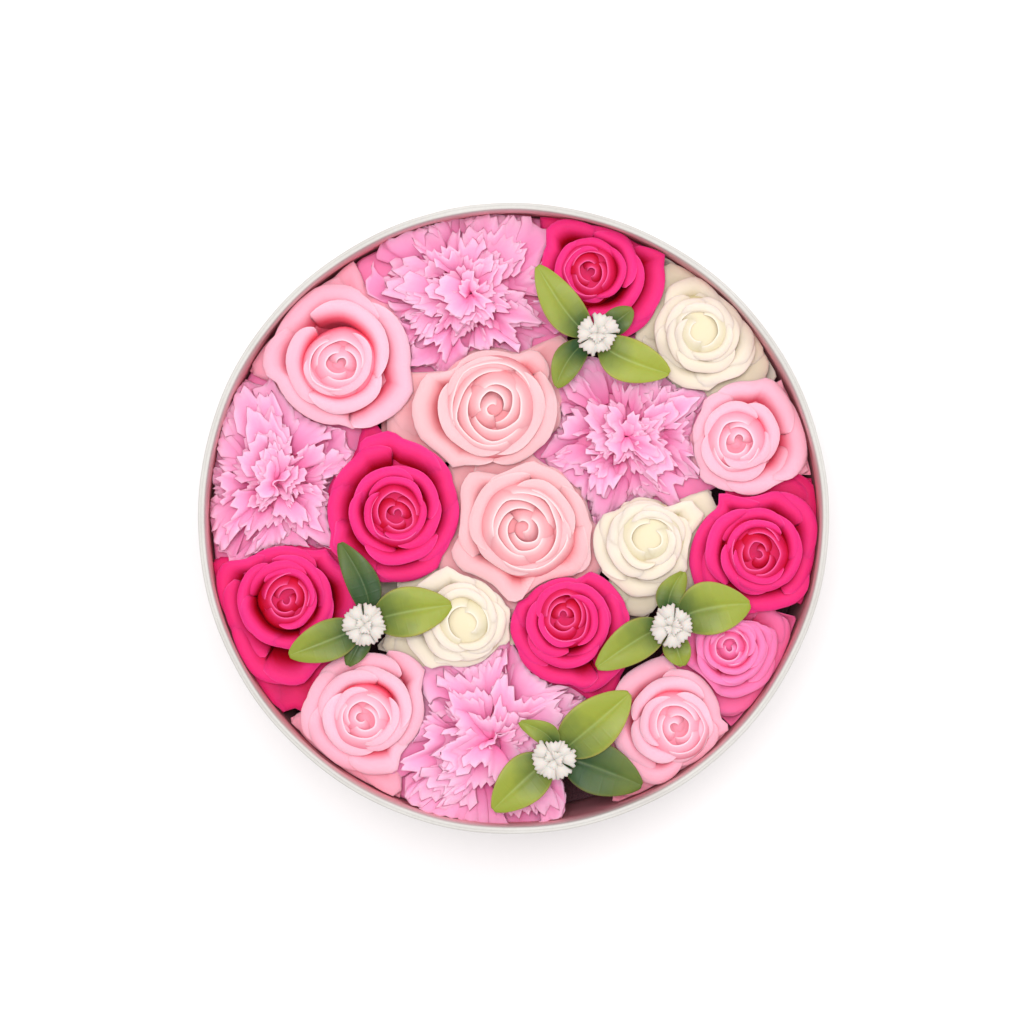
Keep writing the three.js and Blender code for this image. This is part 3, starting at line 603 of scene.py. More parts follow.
def room(head, turn, low=False):
    """How far it is from a head's eye, in each direction, to the next heads, the stems and the wall"""
    way = np.stack([np.cos(turn), np.sin(turn)], -1)
    centre = np.array(head["at"])
    eye = eye_of(head)
    best = circle_exit(eye, way, np.zeros(2), INNER_RADIUS - WALL_ROOM, False)
    for other in HEADS:
        if other is head:
            continue
        middle = np.array(other["at"])
        size = np.linalg.norm(middle - centre)
        toward = (middle - centre) / size
        line = (size + (mean_half(head) ** 2 - mean_half(other) ** 2) / size) / 2
        past = low_shift(head, other) if low else -LIP_ROOM
        facing = way @ toward
        straight = (line + past - (eye - centre) @ toward) / np.maximum(facing, LEAST_FACING)
        if presses(head, other):
            bent = np.minimum(circle_exit(eye, way, centre, line + past, False), straight)
            share = np.clip((facing - 0.5) / 0.3, 0, 1)
        else:
            bent = np.maximum(circle_exit(eye, way, middle, size - line - past, True), straight)
            share = np.clip((facing - 0.72) / 0.15, 0, 1)
        reach = straight * (1 - share) + bent * share
        best = np.where(facing > LEAST_FACING, np.minimum(best, reach), best)
    for sprig in SPRIGS:
        apart = np.array(sprig["at"]) - eye
        size = np.linalg.norm(apart)
        facing = way @ (apart / size)
        aside = np.abs(way[..., 0] * apart[1] - way[..., 1] * apart[0])
        clear = LOW_STEM_ROOM if low else STEM_ROOM
        reach = (size - clear) / np.maximum(facing, LEAST_FACING) + 1.2 * np.maximum(aside - 0.5 * clear, 0)
        best = np.where(facing > LEAST_FACING, np.minimum(best, reach), best)
    return best


def held(reach, limit):
    """The smaller of two distances, with a soft turn from one to the other"""
    return (reach + limit - np.sqrt((reach - limit) ** 2 + 4.0)) / 2


def stand(head, turn, reach, z):
    """Points from a direction and a distance from the head's eye, and a height"""
    return around(*eye_of(head), turn, reach, z)


def crowded(count):
    """Steps from -1 to 1 that lie closer together towards both ends"""
    steps = np.sin(np.linspace(-0.5, 0.5, count) * math.pi)
    return 0.35 * np.linspace(-1, 1, count) + 0.65 * steps


# A petal's roll begins at this share of its length and turns by this angle in radians
CREST = 0.64
ROLL_ANGLE = 1.35
WRAP_THICK = 0.48
CORE_STEPS = 32
SKIRT_STEPS = 128


def open_petal(bundle, head, ring, middle, half, reach, number):
    """A petal that rises like the side of a cup to its crest, with its lip rolled over outwards"""
    further, leaves, lip, foot, rolled, thick, shade = RINGS[ring]
    width, fall, shade_depth = ROLLS[kind_of(head)]
    luck = chance(np.arange(8) + 3.1 * number, reach + middle)
    u, v = spans(crowded(19 if ring == "low" else 25), edged(11, 0.04))
    round_off = 0.55 + 0.45 * np.clip(1 - np.abs(u) ** 4.5, 0, 1) ** 0.45
    tip = 0.10 * np.exp(-np.abs((u - 0.9 * (luck[0] - 0.5)) / 0.11) ** 1.5) * (luck[1] > 0.35)
    ragged = 0.016 * np.sin(5 * u + 6 * luck[2]) + 0.009 * np.sin(11 * u + 6 * luck[3])
    grow = v * (round_off - 0.03 * luck[4] + (tip + ragged) * v ** 2)
    turn = np.radians(middle + 1.08 * half * u * (0.84 + 0.16 * np.sqrt(v)))
    side = head["hand"] * u
    wobble = 0.022 * np.sin(3.1 * u + 6.3 * luck[4]) + 0.008 * np.sin(8 * u + 6.3 * luck[1])
    far = held(further * reach * (1 + 0.045 * side + wobble), room(head, turn, ring == "low"))
    width = width * rolled * (0.85 + 0.3 * luck[5])
    rise = np.clip(grow / CREST, 0, 1)
    roll = ROLL_ANGLE * np.clip((grow - CREST) / (1 - CREST), 0, 1.25)
    foot = foot * (far - width)
    ends = 1 - 0.85 * np.abs(u) ** 4
    out = foot + (far - width - foot) * rise ** 1.5 + width * ends * np.sin(roll) / math.sin(ROLL_ANGLE)
    tall = tallness(head)
    lip = lip - 0.022 * side + 0.012 * (luck[6] - 0.5)
    wave = 0.016 * np.sin(2.6 * u + 6.3 * luck[7]) + 0.007 * np.sin(7 * u + 6.3 * luck[0])
    below = (lip - leaves) * tall * (1 - np.sin(math.pi / 2 * rise))
    curled = fall * rolled * ends * (1 - np.cos(roll))
    z = SEAT + (lip + wave * v ** 2) * tall - below - curled - 1.5 * np.abs(u) ** 4
    # Painted shade: the colour deepens below the crest, towards the root, and over the whole low ring
    depth = np.clip(below / shade_depth + 0.16 * np.clip((1 - grow) / (1 - CREST), 0, 1) + shade, 0, 1)
    # A painted highlight on the last tenth of the petal, along its lip
    painted_edge_highlight = np.clip((v - 0.90) / 0.10, 0, 1) * 0.6
    bundle.add_sheet(stand(head, turn, out, z), thick, depth, painted_edge_highlight, luck[2])


def wrap(bundle, head, how, middle, centre, radius, share, number):
    """A petal of the bud: its face slopes down and out from a thin lip with a painted highlight, into painted
    shade, and opposite its middle it lies close round the one inside it"""
    luck = chance(np.arange(6) + 1.7 * number, radius + 0.3 * middle)
    u, v = spans(crowded(35), edged(9, 0.05))
    top = SEAT + how["high"] * tallness(head) - how["fall"] * share ** 2
    ends = how["sink"] * np.abs(u) ** 6 + 0.35 * np.sin(2.3 * u + 6 * luck[0])
    face = (how["deep"] - ends) * (1 - v) ** 1.3
    turn = np.radians(middle + how["half"] * u)
    egg = 1 + 0.05 * np.cos(2 * turn + 0.1 * head["turn"]) + how["point"] * np.exp(-(u / 0.15) ** 2)
    lean = how["lean"] * (1 - 0.5 * share ** 2) * (1 - np.exp(-face / how["curve"]))
    far = radius * egg * (1 + how["lead"] * head["hand"] * u) + lean
    # Painted shade: the colour deepens down each wrap's face and where its ends sink, and more in the bud as
    # a whole
    depth = np.clip((face + 0.5 * ends) / 7 + 0.04 + how["bud_deepening"] * (1 - 0.6 * share), 0, 1)
    # A painted highlight along the wrap's lip
    painted_edge_highlight = np.clip(1 - face / 0.4, 0, 1)
    surface = stand(head, turn, far, top - ends - face) + np.array([*centre, 0.0])
    bundle.add_sheet(surface, WRAP_THICK, depth, painted_edge_highlight, luck[2])


def core(bundle, head, place, reach, top, cap):
    """The soap lump that the petals are pressed on to: a stalk with a rounded top"""
    foot = SEAT + 0.3
    levels = [(0.3, foot), (0.5, foot + 2), (0.8, foot + 0.4 * (top - foot)), (1.0, top - cap - 2)]
    levels += [(math.cos(t), top - cap + cap * math.sin(t)) for t in np.radians((0, 20, 40, 58, 74, 84))]
    points, quads, triangles = turned_solid([(reach * share, z) for share, z in levels], CORE_STEPS)
    points[-1, 2] = top
    # The lump carries half of the painted shade, as it lies down between the petals
    bundle.add(points + np.array([*(eye_of(head) + place), 0.0]), (0.5, 0.0, 0.5), quads, triangles)


def skirt(bundle, head, profile, shade):
    """The lowest whorl, pressed out to the next heads and the wall: a closed ring with a waved edge"""
    def waved(radius, height, turn):
        edge = room(head, turn[:, 0], True)[:, None] - 0.35 + 0.3 * np.sin(9 * turn + head["at"][0])
        lift = 0.022 * np.sin(7 * turn + head["at"][1]) + 0.012 * np.sin(12 * turn + head["at"][0])
        return radius * np.minimum(edge, 46), SEAT + (height + lift * radius) * tallness(head)

    points, faces = turned_loop(np.array(profile), SKIRT_STEPS, waved)
    # The whorl carries the given share of painted shade all over, as it lies low in the shade of the heads
    bundle.add(points + np.array([*eye_of(head), 0]), (shade, 0.0, 0.5), faces)


# The lowest whorl's section from its middle to its edge and back, as shares of its reach and the head's
# height
ROSE_SKIRT = [
    (0.25, 0.075), (0.6, 0.215), (0.85, 0.42), (0.985, 0.57), (1.0, 0.59),
    (0.97, 0.585), (0.85, 0.45), (0.6, 0.245), (0.25, 0.105),
]

# How the bud of each kind is rolled: the number of wraps, the radius of the innermost, the half span and the
# step from one to the next, how far a wrap winds outwards, how pointed its middle is, how far its face leans
# out below the lip and over what depth, how far its ends sink, how deep it goes, how the lips fall away from
# the middle and how high they stand, how far the bud stands off its cup on one side, how far its colour is
# deepened throughout towards the painted shade's colour, and where its heart lies: its radius, its depth
# below the lips and its rounding's height
BUD_TERMS = ("wraps", "first", "half", "step", "lead", "point", "lean", "curve", "sink", "deep", "fall",
             "high", "shift", "bud_deepening", "heart")
BUDS = {kind: dict(zip(BUD_TERMS, row)) for kind, row in {
    "light": (4, 4.0, 126, 128, 0.04, 0.07, 8.0, 3.0, 2.2, 9.0, 0.6, 0.985, 2.2, 0.20, (3.9, 1.7, 1.6)),
    "peach": (6, 4.6, 122, 66, 0.05, 0.08, 7.6, 2.4, 2.2, 8.0, 1.8, 0.99, 0.8, 0.20, (4.6, 0.9, 1.6)),
    "hot": (4, 3.4, 124, 126, 0.04, 0.09, 7.0, 3.4, 2.2, 9.0, 0.4, 0.975, 1.6, 0.62, (3.3, 2.0, 1.5)),
    "rosy": (3, 2.8, 134, 150, 0.03, 0.07, 5.0, 2.6, 1.6, 8.0, 0.4, 0.975, 0.5, 0.20, (2.8, 1.5, 1.2)),
    "ivory": (4, 3.6, 96, 156, 0.06, 0.05, 9.0, 3.6, 1.0, 8.0, 3.2, 0.985, 0.3, 0.36, (8.8, 0.05, 3.6)),
}.items()}

# How far apart two wraps stay where they come closest
CLOSE = 0.75


def unit_way(azimuth):
    """One unit in a direction given in radians"""
    return np.array([math.cos(azimuth), math.sin(azimuth)])


def bud(bundle, head, how, number):
    """Wraps in rings that each lie off the last one's middle, so the faces between the lips are crescents"""
    grow = (head["bud"] - how["first"]) / (how["wraps"] - 1)
    radii = [0.42 * how["first"]] + [how["first"] + grow * k for k in range(how["wraps"])]
    ways = [math.radians(head["turn"] + head["hand"] * how["step"] * k) for k in range(len(radii))]
    places = [np.zeros(2)]
    for k in range(1, len(radii)):
        places.append(places[-1] + (radii[k] - radii[k - 1] - CLOSE) * unit_way(ways[k]))
    middle = places[-1] + how["shift"] * unit_way(math.radians(head["cave"]))
    radius, depth, cap = how["heart"]
    for k in range(1 if depth < 0.5 else 0, len(radii)):
        share = max(k - 1, 0) / (how["wraps"] - 1)
        wrap(bundle, head, how, math.degrees(ways[k]), places[k] - middle, radii[k], share, number + k)
    top = SEAT + how["high"] * tallness(head)
    core(bundle, head, places[1] - middle, radius, top - depth, cap)
    core(bundle, head, np.zeros(2), head["bud"] + 0.2, top - max(2.0, how["fall"] + 1.2), 0.8)


def rose(head, kind):
    bundle = Bundle()
    # The rose's lowest whorl carries painted shade, little for the ivory roses
    skirt(bundle, head, ROSE_SKIRT, 0.1 if kind == "ivory" else 0.45)
    petals = [(ring, *petal) for ring in RINGS for petal in head[ring]]
    for number, petal in enumerate(petals, 1):
        open_petal(bundle, head, *petal, number)
    bud(bundle, head, BUDS[kind], len(petals))
    made = bundle.piece(head["name"] + "_head", SOAPS[kind])
    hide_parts(head["name"])
    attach(made, "root")


# Where the four sprigs stand and their leaves: the end of the stalk, the tip, the width, how far the leaf
# lies below the topmost ones, and how much painted shade darkens it, mostly the lower ones
SPRIGS = [{"name": f"sprig_{number}", "at": at, "leaves": leaves} for number, at, leaves in (
    (1, (31.7, 69.3), (
        ((23.1, 70.0), (9.1, 95.7), 12.5, 0.0, 0.15), ((34.8, 61.0), (59.3, 54.9), 14.4, 0.0, 0.0),
        ((20.8, 64.5), (16.3, 50.0), 10.0, 1.5, 0.45), ((37.4, 73.1), (45.4, 79.5), 8.6, 1.5, 0.7))),
    (2, (-55.9, -40.3), (
        ((-51.0, -30.7), (-65.8, -9.3), 10.6, 2.5, 0.95), ((-48.0, -35.8), (-23.4, -32.8), 16.3, 0.0, 0.1),
        ((-62.7, -43.7), (-85.0, -52.0), 13.2, 0.0, 0.3), ((-57.1, -45.9), (-62.8, -56.1), 7.6, 3.0, 0.9))),
    (3, (60.5, -40.7), (
        ((52.9, -40.6), (31.7, -56.6), 13.2, 0.0, 0.2), ((66.8, -33.0), (89.9, -32.4), 17.4, 0.0, 0.1),
        ((55.9, -31.0), (64.6, -20.3), 9.0, 1.5, 0.35), ((61.1, -47.9), (64.6, -56.1), 9.0, 2.5, 0.25))),
    (4, (15.9, -90.6), (
        ((22.3, -85.7), (44.2, -66.4), 17.0, 0.0, 0.1), ((24.6, -91.5), (49.1, -101.7), 17.0, 3.5, 0.85),
        ((10.2, -92.5), (-7.6, -110.6), 15.5, 0.0, 0.15), ((17.8, -81.5), (2.6, -77.0), 7.6, -2.0, 0.3))),
)]

for head in HEADS:
    if kind_of(head) in SOAPS:
        rose(head, kind_of(head))


# The carnations are cut from the same soap, every petal a fan with a saw-toothed edge, waved and crowded
# together round a short stalk. A Geometry Nodes tree sets the fans in a spiral that grows from the outer,
# flat ones to the upright ones in the middle.
def fan(number, teeth, deep, wide, curl):
    """A petal one unit long that grows along +X from the origin"""
    luck = chance(np.arange(6) + 0.9, number)
    across = np.linspace(-1, 1, 4 * teeth + 1)
    across[1], across[-2] = -0.97, 0.97
    u, v = np.meshgrid(across, [0.0, 0.06, 0.33, 0.60, 0.82, 0.972, 1.0])
    place = (u + 1) * teeth / 2
    gap = np.abs(place % 1.0 * 2 - 1)
    notch = deep * gap * (0.75 + 0.5 * chance(np.floor(place - 1e-6), number))
    length = 1 - notch * v ** 7 - 0.12 * u ** 2 - 0.06 * np.sin(3 * u + 6.3 * luck[4])
    bent = curl * v ** 2.2
    x = v * length * np.cos(0.5 * u * wide) * np.cos(0.45 * bent)
    y = wide * u * (0.12 + 0.88 * v ** 0.8)
    sway = np.sin(u * (2.4 + 1.8 * luck[0]) + 6.3 * luck[1]) + 0.45 * np.sin(u * 6.5 + 6.3 * luck[2])
    z = 0.13 * sway * v ** 1.5 - v * length * np.sin(0.62 * bent) + 0.10 * v
    # Painted shade: the colour deepens towards the fan's root
    depth = np.clip(1.0 - 1.05 * v, 0, 1)
    # A painted highlight along the fan's toothed tip
    painted_edge_highlight = np.clip((v - 0.80) / 0.17, 0, 1)
    bundle = Bundle()
    bundle.add_sheet(np.stack([x, y, z], -1), 0.022, depth, painted_edge_highlight, luck[3])
    return bundle


def frill_soap():
    box = Paintbox("carnation_soap")
    depth, painted_edge_highlight, tint = box.paint()
    clouds = box.noise(80.0)
    pores = box.noise(1500.0, 2.0)
    # Painted shade: the colour deepens to a saturated pink towards the fans' roots
    colour = box.mix(box.math("POWER", depth, 0.8), (0.885, 0.40, 0.61), (0.88, 0.13, 0.36))
    # A painted highlight lightens the fans' tips
    colour = box.mix(box.times(painted_edge_highlight, 0.5), colour, (0.92, 0.54, 0.71))
    colour = box.mix(box.times(tint, 0.18), colour, (0.82, 0.24, 0.46))
    relief = box.math("MULTIPLY_ADD", clouds, 6.0, pores)
    box.set(Specular_IOR_Level=0.15, Subsurface_Weight=0.25, Subsurface_Scale=0.003,
            Subsurface_Radius=(1.0, 0.35, 0.5))
    return box.finish(colour, pores, 0.46, 0.62, relief, 0.03)


def crowd_tree(name, material):
    """Sets copies of a collection's meshes in a spiral, from flat ones outside to upright ones inside"""
    group = bpy.data.node_groups.new(name, "GeometryNodeTree")
    inputs = {}
    for kind, labels in (
        ("Collection", ("Fans",)), ("Int", ("Count", "Seed")),
        ("Float", ("Root radius", "Root rise", "Flat tilt", "Upright tilt", "Outer size", "Inner size",
                   "Step angle", "Scatter", "Ease")),
    ):
        for label in labels:
            socket = group.interface.new_socket(name=label, in_out="INPUT", socket_type="NodeSocket" + kind)
            inputs[label] = socket.identifier
    group.interface.new_socket(name="Geometry", in_out="OUTPUT", socket_type="NodeSocketGeometry")
    tree = Tree(group)
    math_node, times = tree.math, tree.times
    given = tree.add("NodeGroupInput").outputs

    def blend(share, first, second):
        change = math_node("SUBTRACT", given[second], given[first])
        return math_node("MULTIPLY_ADD", share, change, given[first])

    def lucky(offset):
        seed = math_node("ADD", given["Seed"], offset)
        drawn = tree.add("FunctionNodeRandomValue", {2: -1.0, 3: 1.0, "Seed": seed}, data_type="FLOAT")
        return times(drawn.outputs[1], given["Scatter"])

    index = tree.add("GeometryNodeInputIndex").outputs[0]
    share = math_node("DIVIDE", index, math_node("SUBTRACT", given["Count"], 1.0))
    share = math_node("POWER", share, given["Ease"])
    turn = math_node("MULTIPLY_ADD", index, given["Step angle"], times(lucky(1), 0.8))
    ring = times(given["Root radius"], math_node("SUBTRACT", 1.0, share))
    place = tree.add("ShaderNodeCombineXYZ", {
        "X": times(ring, math_node("COSINE", turn)), "Y": times(ring, math_node("SINE", turn)),
        "Z": times(given["Root rise"], share),
    })
    dots = tree.add("GeometryNodePoints", {"Count": given["Count"], "Position": place.outputs[0]})
    tilt = math_node("ADD", blend(share, "Flat tilt", "Upright tilt"), times(lucky(2), 0.5))
    angles = tree.add("ShaderNodeCombineXYZ", {"X": lucky(3), "Y": times(tilt, -1.0), "Z": turn})
    rotation = tree.add("FunctionNodeEulerToRotation", {0: angles.outputs[0]})
    size = times(blend(share, "Outer size", "Inner size"), math_node("MULTIPLY_ADD", lucky(4), 0.4, 1.0))
    fans = tree.add("GeometryNodeCollectionInfo", {
        "Separate Children": True, "Reset Children": True, "Collection": given["Fans"],
    }, transform_space="ORIGINAL")
    copies = tree.add("GeometryNodeInstanceOnPoints", {
        "Pick Instance": True, "Points": dots.outputs[0], "Instance": fans.outputs[0],
        "Instance Index": index, "Rotation": rotation.outputs[0], "Scale": size,
    })
    real = tree.add("GeometryNodeRealizeInstances", {0: copies.outputs[0]})
    coat = tree.add("GeometryNodeSetMaterial", {"Material": material, "Geometry": real.outputs[0]})
    tree.add("NodeGroupOutput", {0: coat.outputs[0]})
    return group, inputs


def grown(name, crowd, sources, values):
    """Runs a tree on an empty mesh: the plain mesh that it makes, and its points in the tree's own units"""
    group, inputs = crowd
    shelf = bpy.data.collections.new(name + "_sources")
    for part in sources:
        part.data.transform(Matrix.Scale(1 / MM, 4))
        bpy.context.scene.collection.objects.unlink(part)
        shelf.objects.link(part)
    carrier = in_scene(name + "_carrier", bpy.data.meshes.new(name + "_carrier"))
    grow = carrier.modifiers.new("Grow", "NODES")
    grow.node_group = group
    for label, value in {"Fans": shelf, **values}.items():
        grow[inputs[label]] = value
    depsgraph = bpy.context.evaluated_depsgraph_get()
    mesh = bpy.data.meshes.new_from_object(carrier.evaluated_get(depsgraph), depsgraph=depsgraph)
    for part in (carrier, *sources):
        bpy.data.objects.remove(part)
    bpy.data.collections.remove(shelf)
    flat = np.zeros(len(mesh.vertices) * 3)
    mesh.vertices.foreach_get("co", flat)
    return mesh, flat.reshape(-1, 3)


def moved(name, mesh, points):
    """An object of a mesh whose points go to new places in millimetres, shaded smooth"""
    mesh.vertices.foreach_set("co", (points * MM).ravel())
    mesh.polygons.foreach_set("use_smooth", [True] * len(mesh.polygons))
    mesh.update()
    return in_scene(name, mesh)


def joined(parts):
    """The parts as one object, under the first one's name"""
    bpy.ops.object.select_all(action="DESELECT")
    for part in parts:
        part.select_set(True)
    bpy.context.view_layer.objects.active = parts[0]
    bpy.ops.object.join()
    return bpy.context.view_layer.objects.active


FRILL_SOAP = frill_soap()
FRILL_CROWD = crowd_tree("Carnation petals", FRILL_SOAP)
GOLDEN_ANGLE = 2.39996

# Each carnation: how many fans, their teeth, how deep these are, the fans' width, the seed, and the size of
# the outermost and the innermost fans
CARNATIONS = {
    "carnation_1": (92, 5, 0.18, 0.44, 3, 0.54, 0.34),
    "carnation_2": (96, 5, 0.17, 0.44, 5, 0.52, 0.32),
    "carnation_3": (120, 4, 0.17, 0.42, 8, 0.46, 0.30),
    "carnation_4": (80, 6, 0.16, 0.50, 11, 0.60, 0.36),
}
FRILL_SKIRT = [
    (0.03, 0.08), (0.3, 0.2), (0.85, 0.42), (0.985, 0.53), (1.0, 0.55),
    (0.97, 0.56), (0.8, 0.60), (0.4, 0.66), (0.03, 0.68),
]


def carnation(head):
    count, teeth, deep, wide, seed, outer, inner = CARNATIONS[head["name"]]
    sources = []
    for k in range(6):
        bundle = fan(k + seed, teeth, deep, wide * (0.85 + 0.06 * k), 0.30 + 0.6 * k / 5)
        sources.append(bundle.piece(f"{head['name']}_fan_{k}", FRILL_SOAP))
    mesh, unit = grown(head["name"], FRILL_CROWD, sources, {
        "Count": count, "Seed": seed, "Root radius": 0.56, "Root rise": 0.56, "Flat tilt": 0.50,
        "Upright tilt": 1.20, "Outer size": outer, "Inner size": inner, "Step angle": GOLDEN_ANGLE,
        "Scatter": 0.9, "Ease": 1.5,
    })
    turn = np.arctan2(unit[:, 1], unit[:, 0]) + math.radians(head["turn"])
    away = np.hypot(unit[:, 0], unit[:, 1]) / 0.84
    a, b = head["half"]
    ellipse = a * b / np.hypot(b * np.cos(turn), a * np.sin(turn)) * 1.30
    reach = held(ellipse, room(head, turn)) * np.minimum(away, 1.0 + 0.15 * (away - 1.0))
    z = SEAT + np.clip(0.60 + 0.385 * unit[:, 2], 0.02, 1.03) * tallness(head)
    fans = moved(head["name"] + "_head", mesh, stand(head, turn, reach, z))
    bundle = Bundle()
    # The carnation's lowest whorl carries painted shade
    skirt(bundle, head, FRILL_SKIRT, 0.55)
    made = joined([fans, bundle.piece(head["name"] + "_skirt", FRILL_SOAP)])
    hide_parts(head["name"])
    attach(made, "root")


for head in HEADS:
    if head["name"] in CARNATIONS:
        carnation(head)


# Each sprig is a moulded plastic stem with four leaves, green at the stalk and yellow-green at the rim,
# folded along the midrib and a little waved. Its stem stands in the foam.
LEAF_LEVEL = 99.5
LEAF_THICK = 0.7
STEM_RADIUS = 1.1
STEM_STEPS = 10
FLORET_LEVEL = 99.5


def leaf_plastic():
    box = Paintbox("leaf_plastic")
    side, along, painted_leaf_shade = box.paint()
    clouds = box.noise(90.0)
    shade = box.math("ADD", along, box.times(box.math("SUBTRACT", clouds, 0.5), 0.5))
    # Painted shade darkens the lower leaves and the stem
    shade = box.math("SUBTRACT", shade, box.times(painted_leaf_shade, 0.45))
    colour = box.mix(box.spread(shade, 0.2, 0.75), (0.030, 0.080, 0.022), (0.265, 0.305, 0.030))
    colour = box.mix(box.spread(side, 0.86, 1.0, 0.0, 0.55), colour, (0.40, 0.33, 0.09))
    rib = box.spread(side, 0.0, 0.07, 0.35, 0.0)
    colour = box.mix(rib, colour, (0.36, 0.45, 0.12))
    colour = box.mix(box.times(painted_leaf_shade, 0.72), colour, (0.022, 0.055, 0.012))
    slant = box.math("SUBTRACT", along, box.times(side, 0.16))
    wave = box.math("SINE", box.times(slant, 58.0))
    veins = box.math("MULTIPLY_ADD", box.spread(wave, 0.75, 1.0), 0.25, clouds)
    box.set(Specular_IOR_Level=0.3, Subsurface_Weight=0.12, Subsurface_Scale=0.0015)
    return box.finish(colour, clouds, 0.40, 0.55, veins, 0.10)


def leaf(bundle, sprig, stalk, tip, width, drop, painted_leaf_shade, number):
    level = LEAF_LEVEL - drop
    root = np.array([*sprig["at"], level - 4.5])
    bend = np.array([*stalk, level + 0.5])
    end = np.array([*tip, level - 0.5])
    luck = chance(np.arange(4) + 2.2, number + tip[0])
    u, v = spans(edged(13, 0.05), edged(25, 0.012))
    w = v[..., None]
    middle = (1 - w) ** 2 * root + 2 * w * (1 - w) * bend + w ** 2 * end
    way = (end - root) * np.array([1, 1, 0])
    way /= np.linalg.norm(way)
    side = np.array([-way[1], way[0], 0])
    swell = np.sin(math.pi * np.clip((v - 0.13) / 0.87, 0, 1) ** 1.12) ** 0.60
    half = 0.45 + (0.59 * width - 0.45) * np.clip(swell, 0, 1)
    points = middle + side * (u * half)[..., None]
    fold = 0.20 * np.abs(u) * half - 0.05 * half * np.exp(-(u / 0.08) ** 2)
    wave = 0.55 * np.abs(u) ** 1.5 * np.sin(9 * v + u + 6 * luck[0]) * np.clip(3 * v, 0, 1)
    droop = -0.9 * np.abs(u) ** 3 * swell - 1.2 * np.clip(v - 0.75, 0, 1) ** 1.5 * 4
    points[..., 2] += fold + wave + droop
    bundle.add_sheet(points, LEAF_THICK, np.abs(u), np.clip(v + 0.15 * np.abs(u), 0, 1), painted_leaf_shade)


def stem(bundle, sprig):
    """A round bar with a slight bow, from in the foam to under the florets"""
    x, y = sprig["at"]
    heights = np.linspace(STUB_FOOT, FLORET_LEVEL - 0.3, 12)
    sway = 0.5 * np.sin(np.linspace(0, 3.14, 12))
    path = np.stack([x + sway, y - 0.6 * sway, heights], -1)
    ways = np.gradient(path, axis=0)
    ways /= np.linalg.norm(ways, axis=1, keepdims=True)
    first = np.cross(ways, [0.0, 1.0, 0.13])
    first /= np.linalg.norm(first, axis=1, keepdims=True)
    second = np.cross(ways, first)
    turn = turns(STEM_STEPS)[:, None]
    rings = path[:, None] + STEM_RADIUS * (first[:, None] * np.cos(turn) + second[:, None] * np.sin(turn))
    points, quads, triangles = solid(rings, path[0], path[-1])
    # The stem's third channel is painted shade
    bundle.add(points, (0.6, 0.2, 0.6), quads, triangles)


LEAF_PLASTIC = leaf_plastic()
for sprig in SPRIGS:
    bundle = Bundle()
    stem(bundle, sprig)
    for number, row in enumerate(sprig["leaves"]):
        leaf(bundle, sprig, *row, number)
    made = bundle.piece(sprig["name"] + "_green", LEAF_PLASTIC)
    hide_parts(sprig["name"] + "_leaves")
    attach(made, "root")


# On the end of each stem is a tight cluster of tiny white flowers, moulded in one: seven flared bells with
# small teeth, round four upright ones. The same kind of Geometry Nodes tree sets the bells.
def white_plastic():
    box = Paintbox("floret_plastic")
    depth = box.paint()[0]
    clouds = box.noise(300.0)
    colour = box.mix(box.spread(depth, 0.2, 1.0), (0.59, 0.545, 0.505), (0.32, 0.33, 0.26))
    colour = box.mix(box.times(clouds, 0.12), colour, (0.55, 0.54, 0.48))
    box.set(Specular_IOR_Level=0.35, Subsurface_Weight=0.15, Subsurface_Scale=0.0012)
    return box.finish(colour, clouds, 0.5, 0.65, box.noise(1200.0), 0.04)


def lobe(number):
    """A flared bell one unit long that grows along +X from the origin, with a saw-toothed mouth"""
    luck = chance(np.arange(4) + 1.3, number)
    u, v = np.meshgrid(np.linspace(-1, 1, 17), [0.0, 0.08, 0.25, 0.45, 0.62, 0.76, 0.88, 0.95, 1.0])
    gap = np.abs((u + 1) * 2 % 1.0 * 2 - 1)
    length = 1 - 0.13 * gap * v ** 6 - 0.12 * u ** 2 * v
    width = 0.08 + (0.31 + 0.04 * luck[0]) * v ** 1.3
    z = 0.34 * np.sin(2.7 * v) - 0.26 * u ** 2 * v + 0.05 * (luck[2] - 0.5) * v
    depth = np.clip(0.9 - 1.3 * v, 0, 1) + 0.3 * np.abs(u) ** 3
    bundle = Bundle()
    bundle.add_sheet(np.stack([v * length, u * width, z], -1), 0.15, depth, v ** 4, luck[1])
    return bundle


WHITE_PLASTIC = white_plastic()
FLORET_CROWD = crowd_tree("Floret lobes", WHITE_PLASTIC)

# The rings of bells, outer and upright: the radius, the number of bells, the seed, the tilt and the rise
BELL_RINGS = ((9.0, 7, 3, 0.16, 0.0), (6.0, 4, 7, 0.70, 0.12))

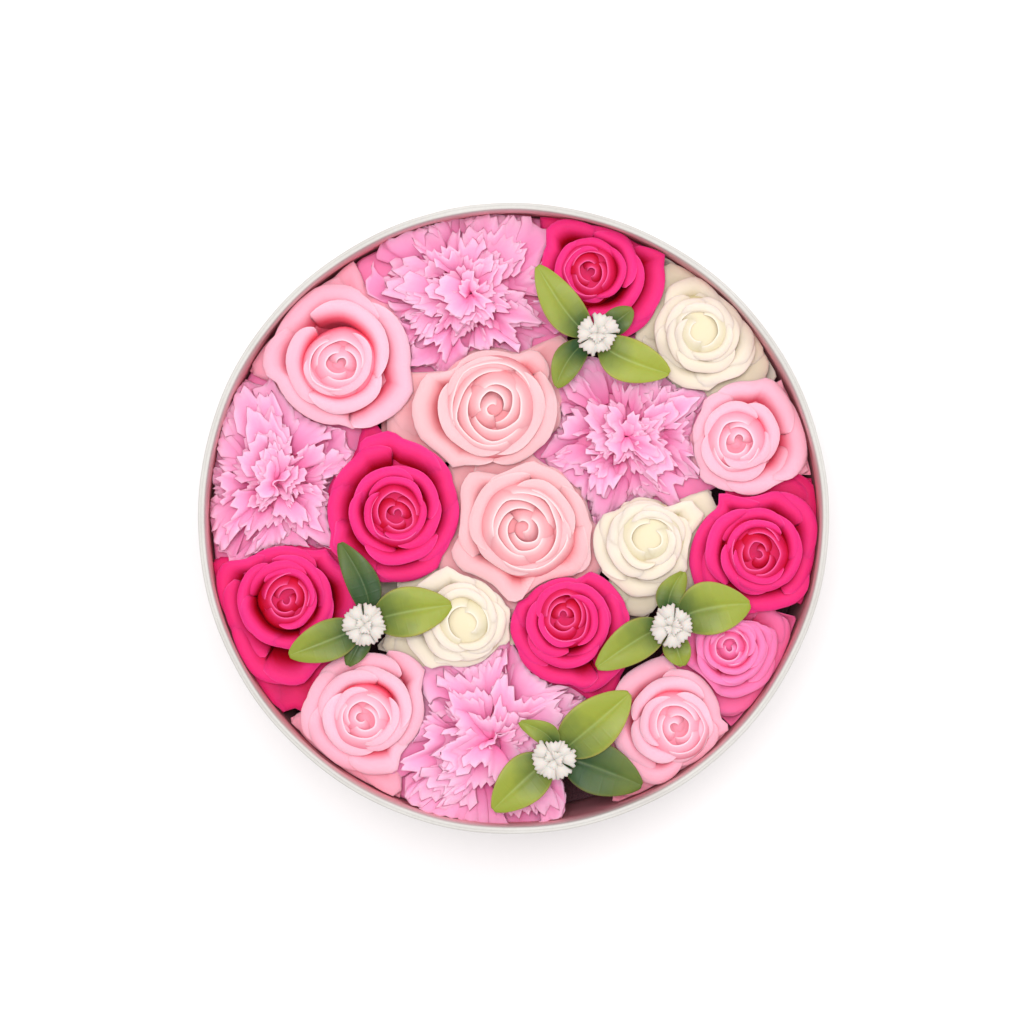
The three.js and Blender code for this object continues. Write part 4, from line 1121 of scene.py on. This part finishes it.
for number, sprig in enumerate(SPRIGS):
    parts = []
    for radius, count, seed, tilt, rise in BELL_RINGS:
        names = [f"{sprig['name']}_lobe_{k}_{seed}" for k in range(3)]
        sources = [lobe(k + seed).piece(name, WHITE_PLASTIC) for k, name in enumerate(names)]
        mesh, unit = grown(sprig["name"], FLORET_CROWD, sources, {
            "Count": count, "Seed": seed + number, "Root radius": 0.02, "Root rise": rise, "Flat tilt": tilt,
            "Upright tilt": tilt + 0.2, "Outer size": 1.0, "Inner size": 0.92,
            "Step angle": FULL_TURN / count, "Scatter": 0.13, "Ease": 1.0,
        })
        across, along, up = (unit * radius).T
        spin = math.radians(20 + 40 * number + 3 * seed)
        x = sprig["at"][0] + across * math.cos(spin) - along * math.sin(spin)
        y = sprig["at"][1] + across * math.sin(spin) + along * math.cos(spin)
        points = np.stack([x, y, FLORET_LEVEL + 1.2 + up], -1)
        parts.append(moved(f"{sprig['name']}_white_{seed}", mesh, points))
    made = joined(parts)
    made.name = sprig["name"] + "_white"
    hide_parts(sprig["name"] + "_florets")
    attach(made, "root")


# The studio: a pale floor, a broad soft light above, a weaker one from the upper right and even light from
# all round. The floor turns white in the light, but for a soft shadow below the box.
def floor_white():
    box = Paintbox("studio_floor")
    clouds = box.noise(2.0)
    colour = box.mix(clouds, (0.78, 0.755, 0.762), (0.80, 0.775, 0.782))
    return box.finish(colour, clouds, 0.8, 0.9, clouds, 0.01)


FLOOR_REACH = 3000.0
corners = [(x * FLOOR_REACH, y * FLOOR_REACH, 0) for x, y in ((-1, -1), (1, -1), (1, 1), (-1, 1))]
floor = make_piece("Studio_floor", corners, [(0, 1, 2, 3)], floor_white(), smooth=False)

world = bpy.data.worlds.new("Studio")
world.use_nodes = True
world.node_tree.nodes["Background"].inputs["Color"].default_value = (1.0, 0.985, 0.98, 1.0)
world.node_tree.nodes["Background"].inputs["Strength"].default_value = 0.84
bpy.context.scene.world = world

for name, place, power, wide in (
    ("Top_light", (-0.12, 0.16, 1.9), 20.5, 0.7),
    ("Side_light", (0.7, 0.8, 1.1), 4.2, 0.8),
):
    lamp = bpy.data.lights.new(name, "AREA")
    lamp.shape = "DISK"
    lamp.size = wide
    lamp.energy = power
    holder = in_scene(name, lamp)
    holder.location = place
    holder.rotation_euler = (-Vector(place)).to_track_quat("-Z", "Y").to_euler()

# The camera looks straight down from 0.85 m above the rim
camera = bpy.data.cameras.new("Camera")
camera.sensor_width = 36.0
camera.lens = 78.9
camera.clip_start = 0.05
viewer = in_scene("Camera", camera)
viewer.location = (-0.0004, 0.0024, 0.95)
bpy.context.scene.camera = viewer
bpy.context.scene.view_settings.view_transform = "Standard"
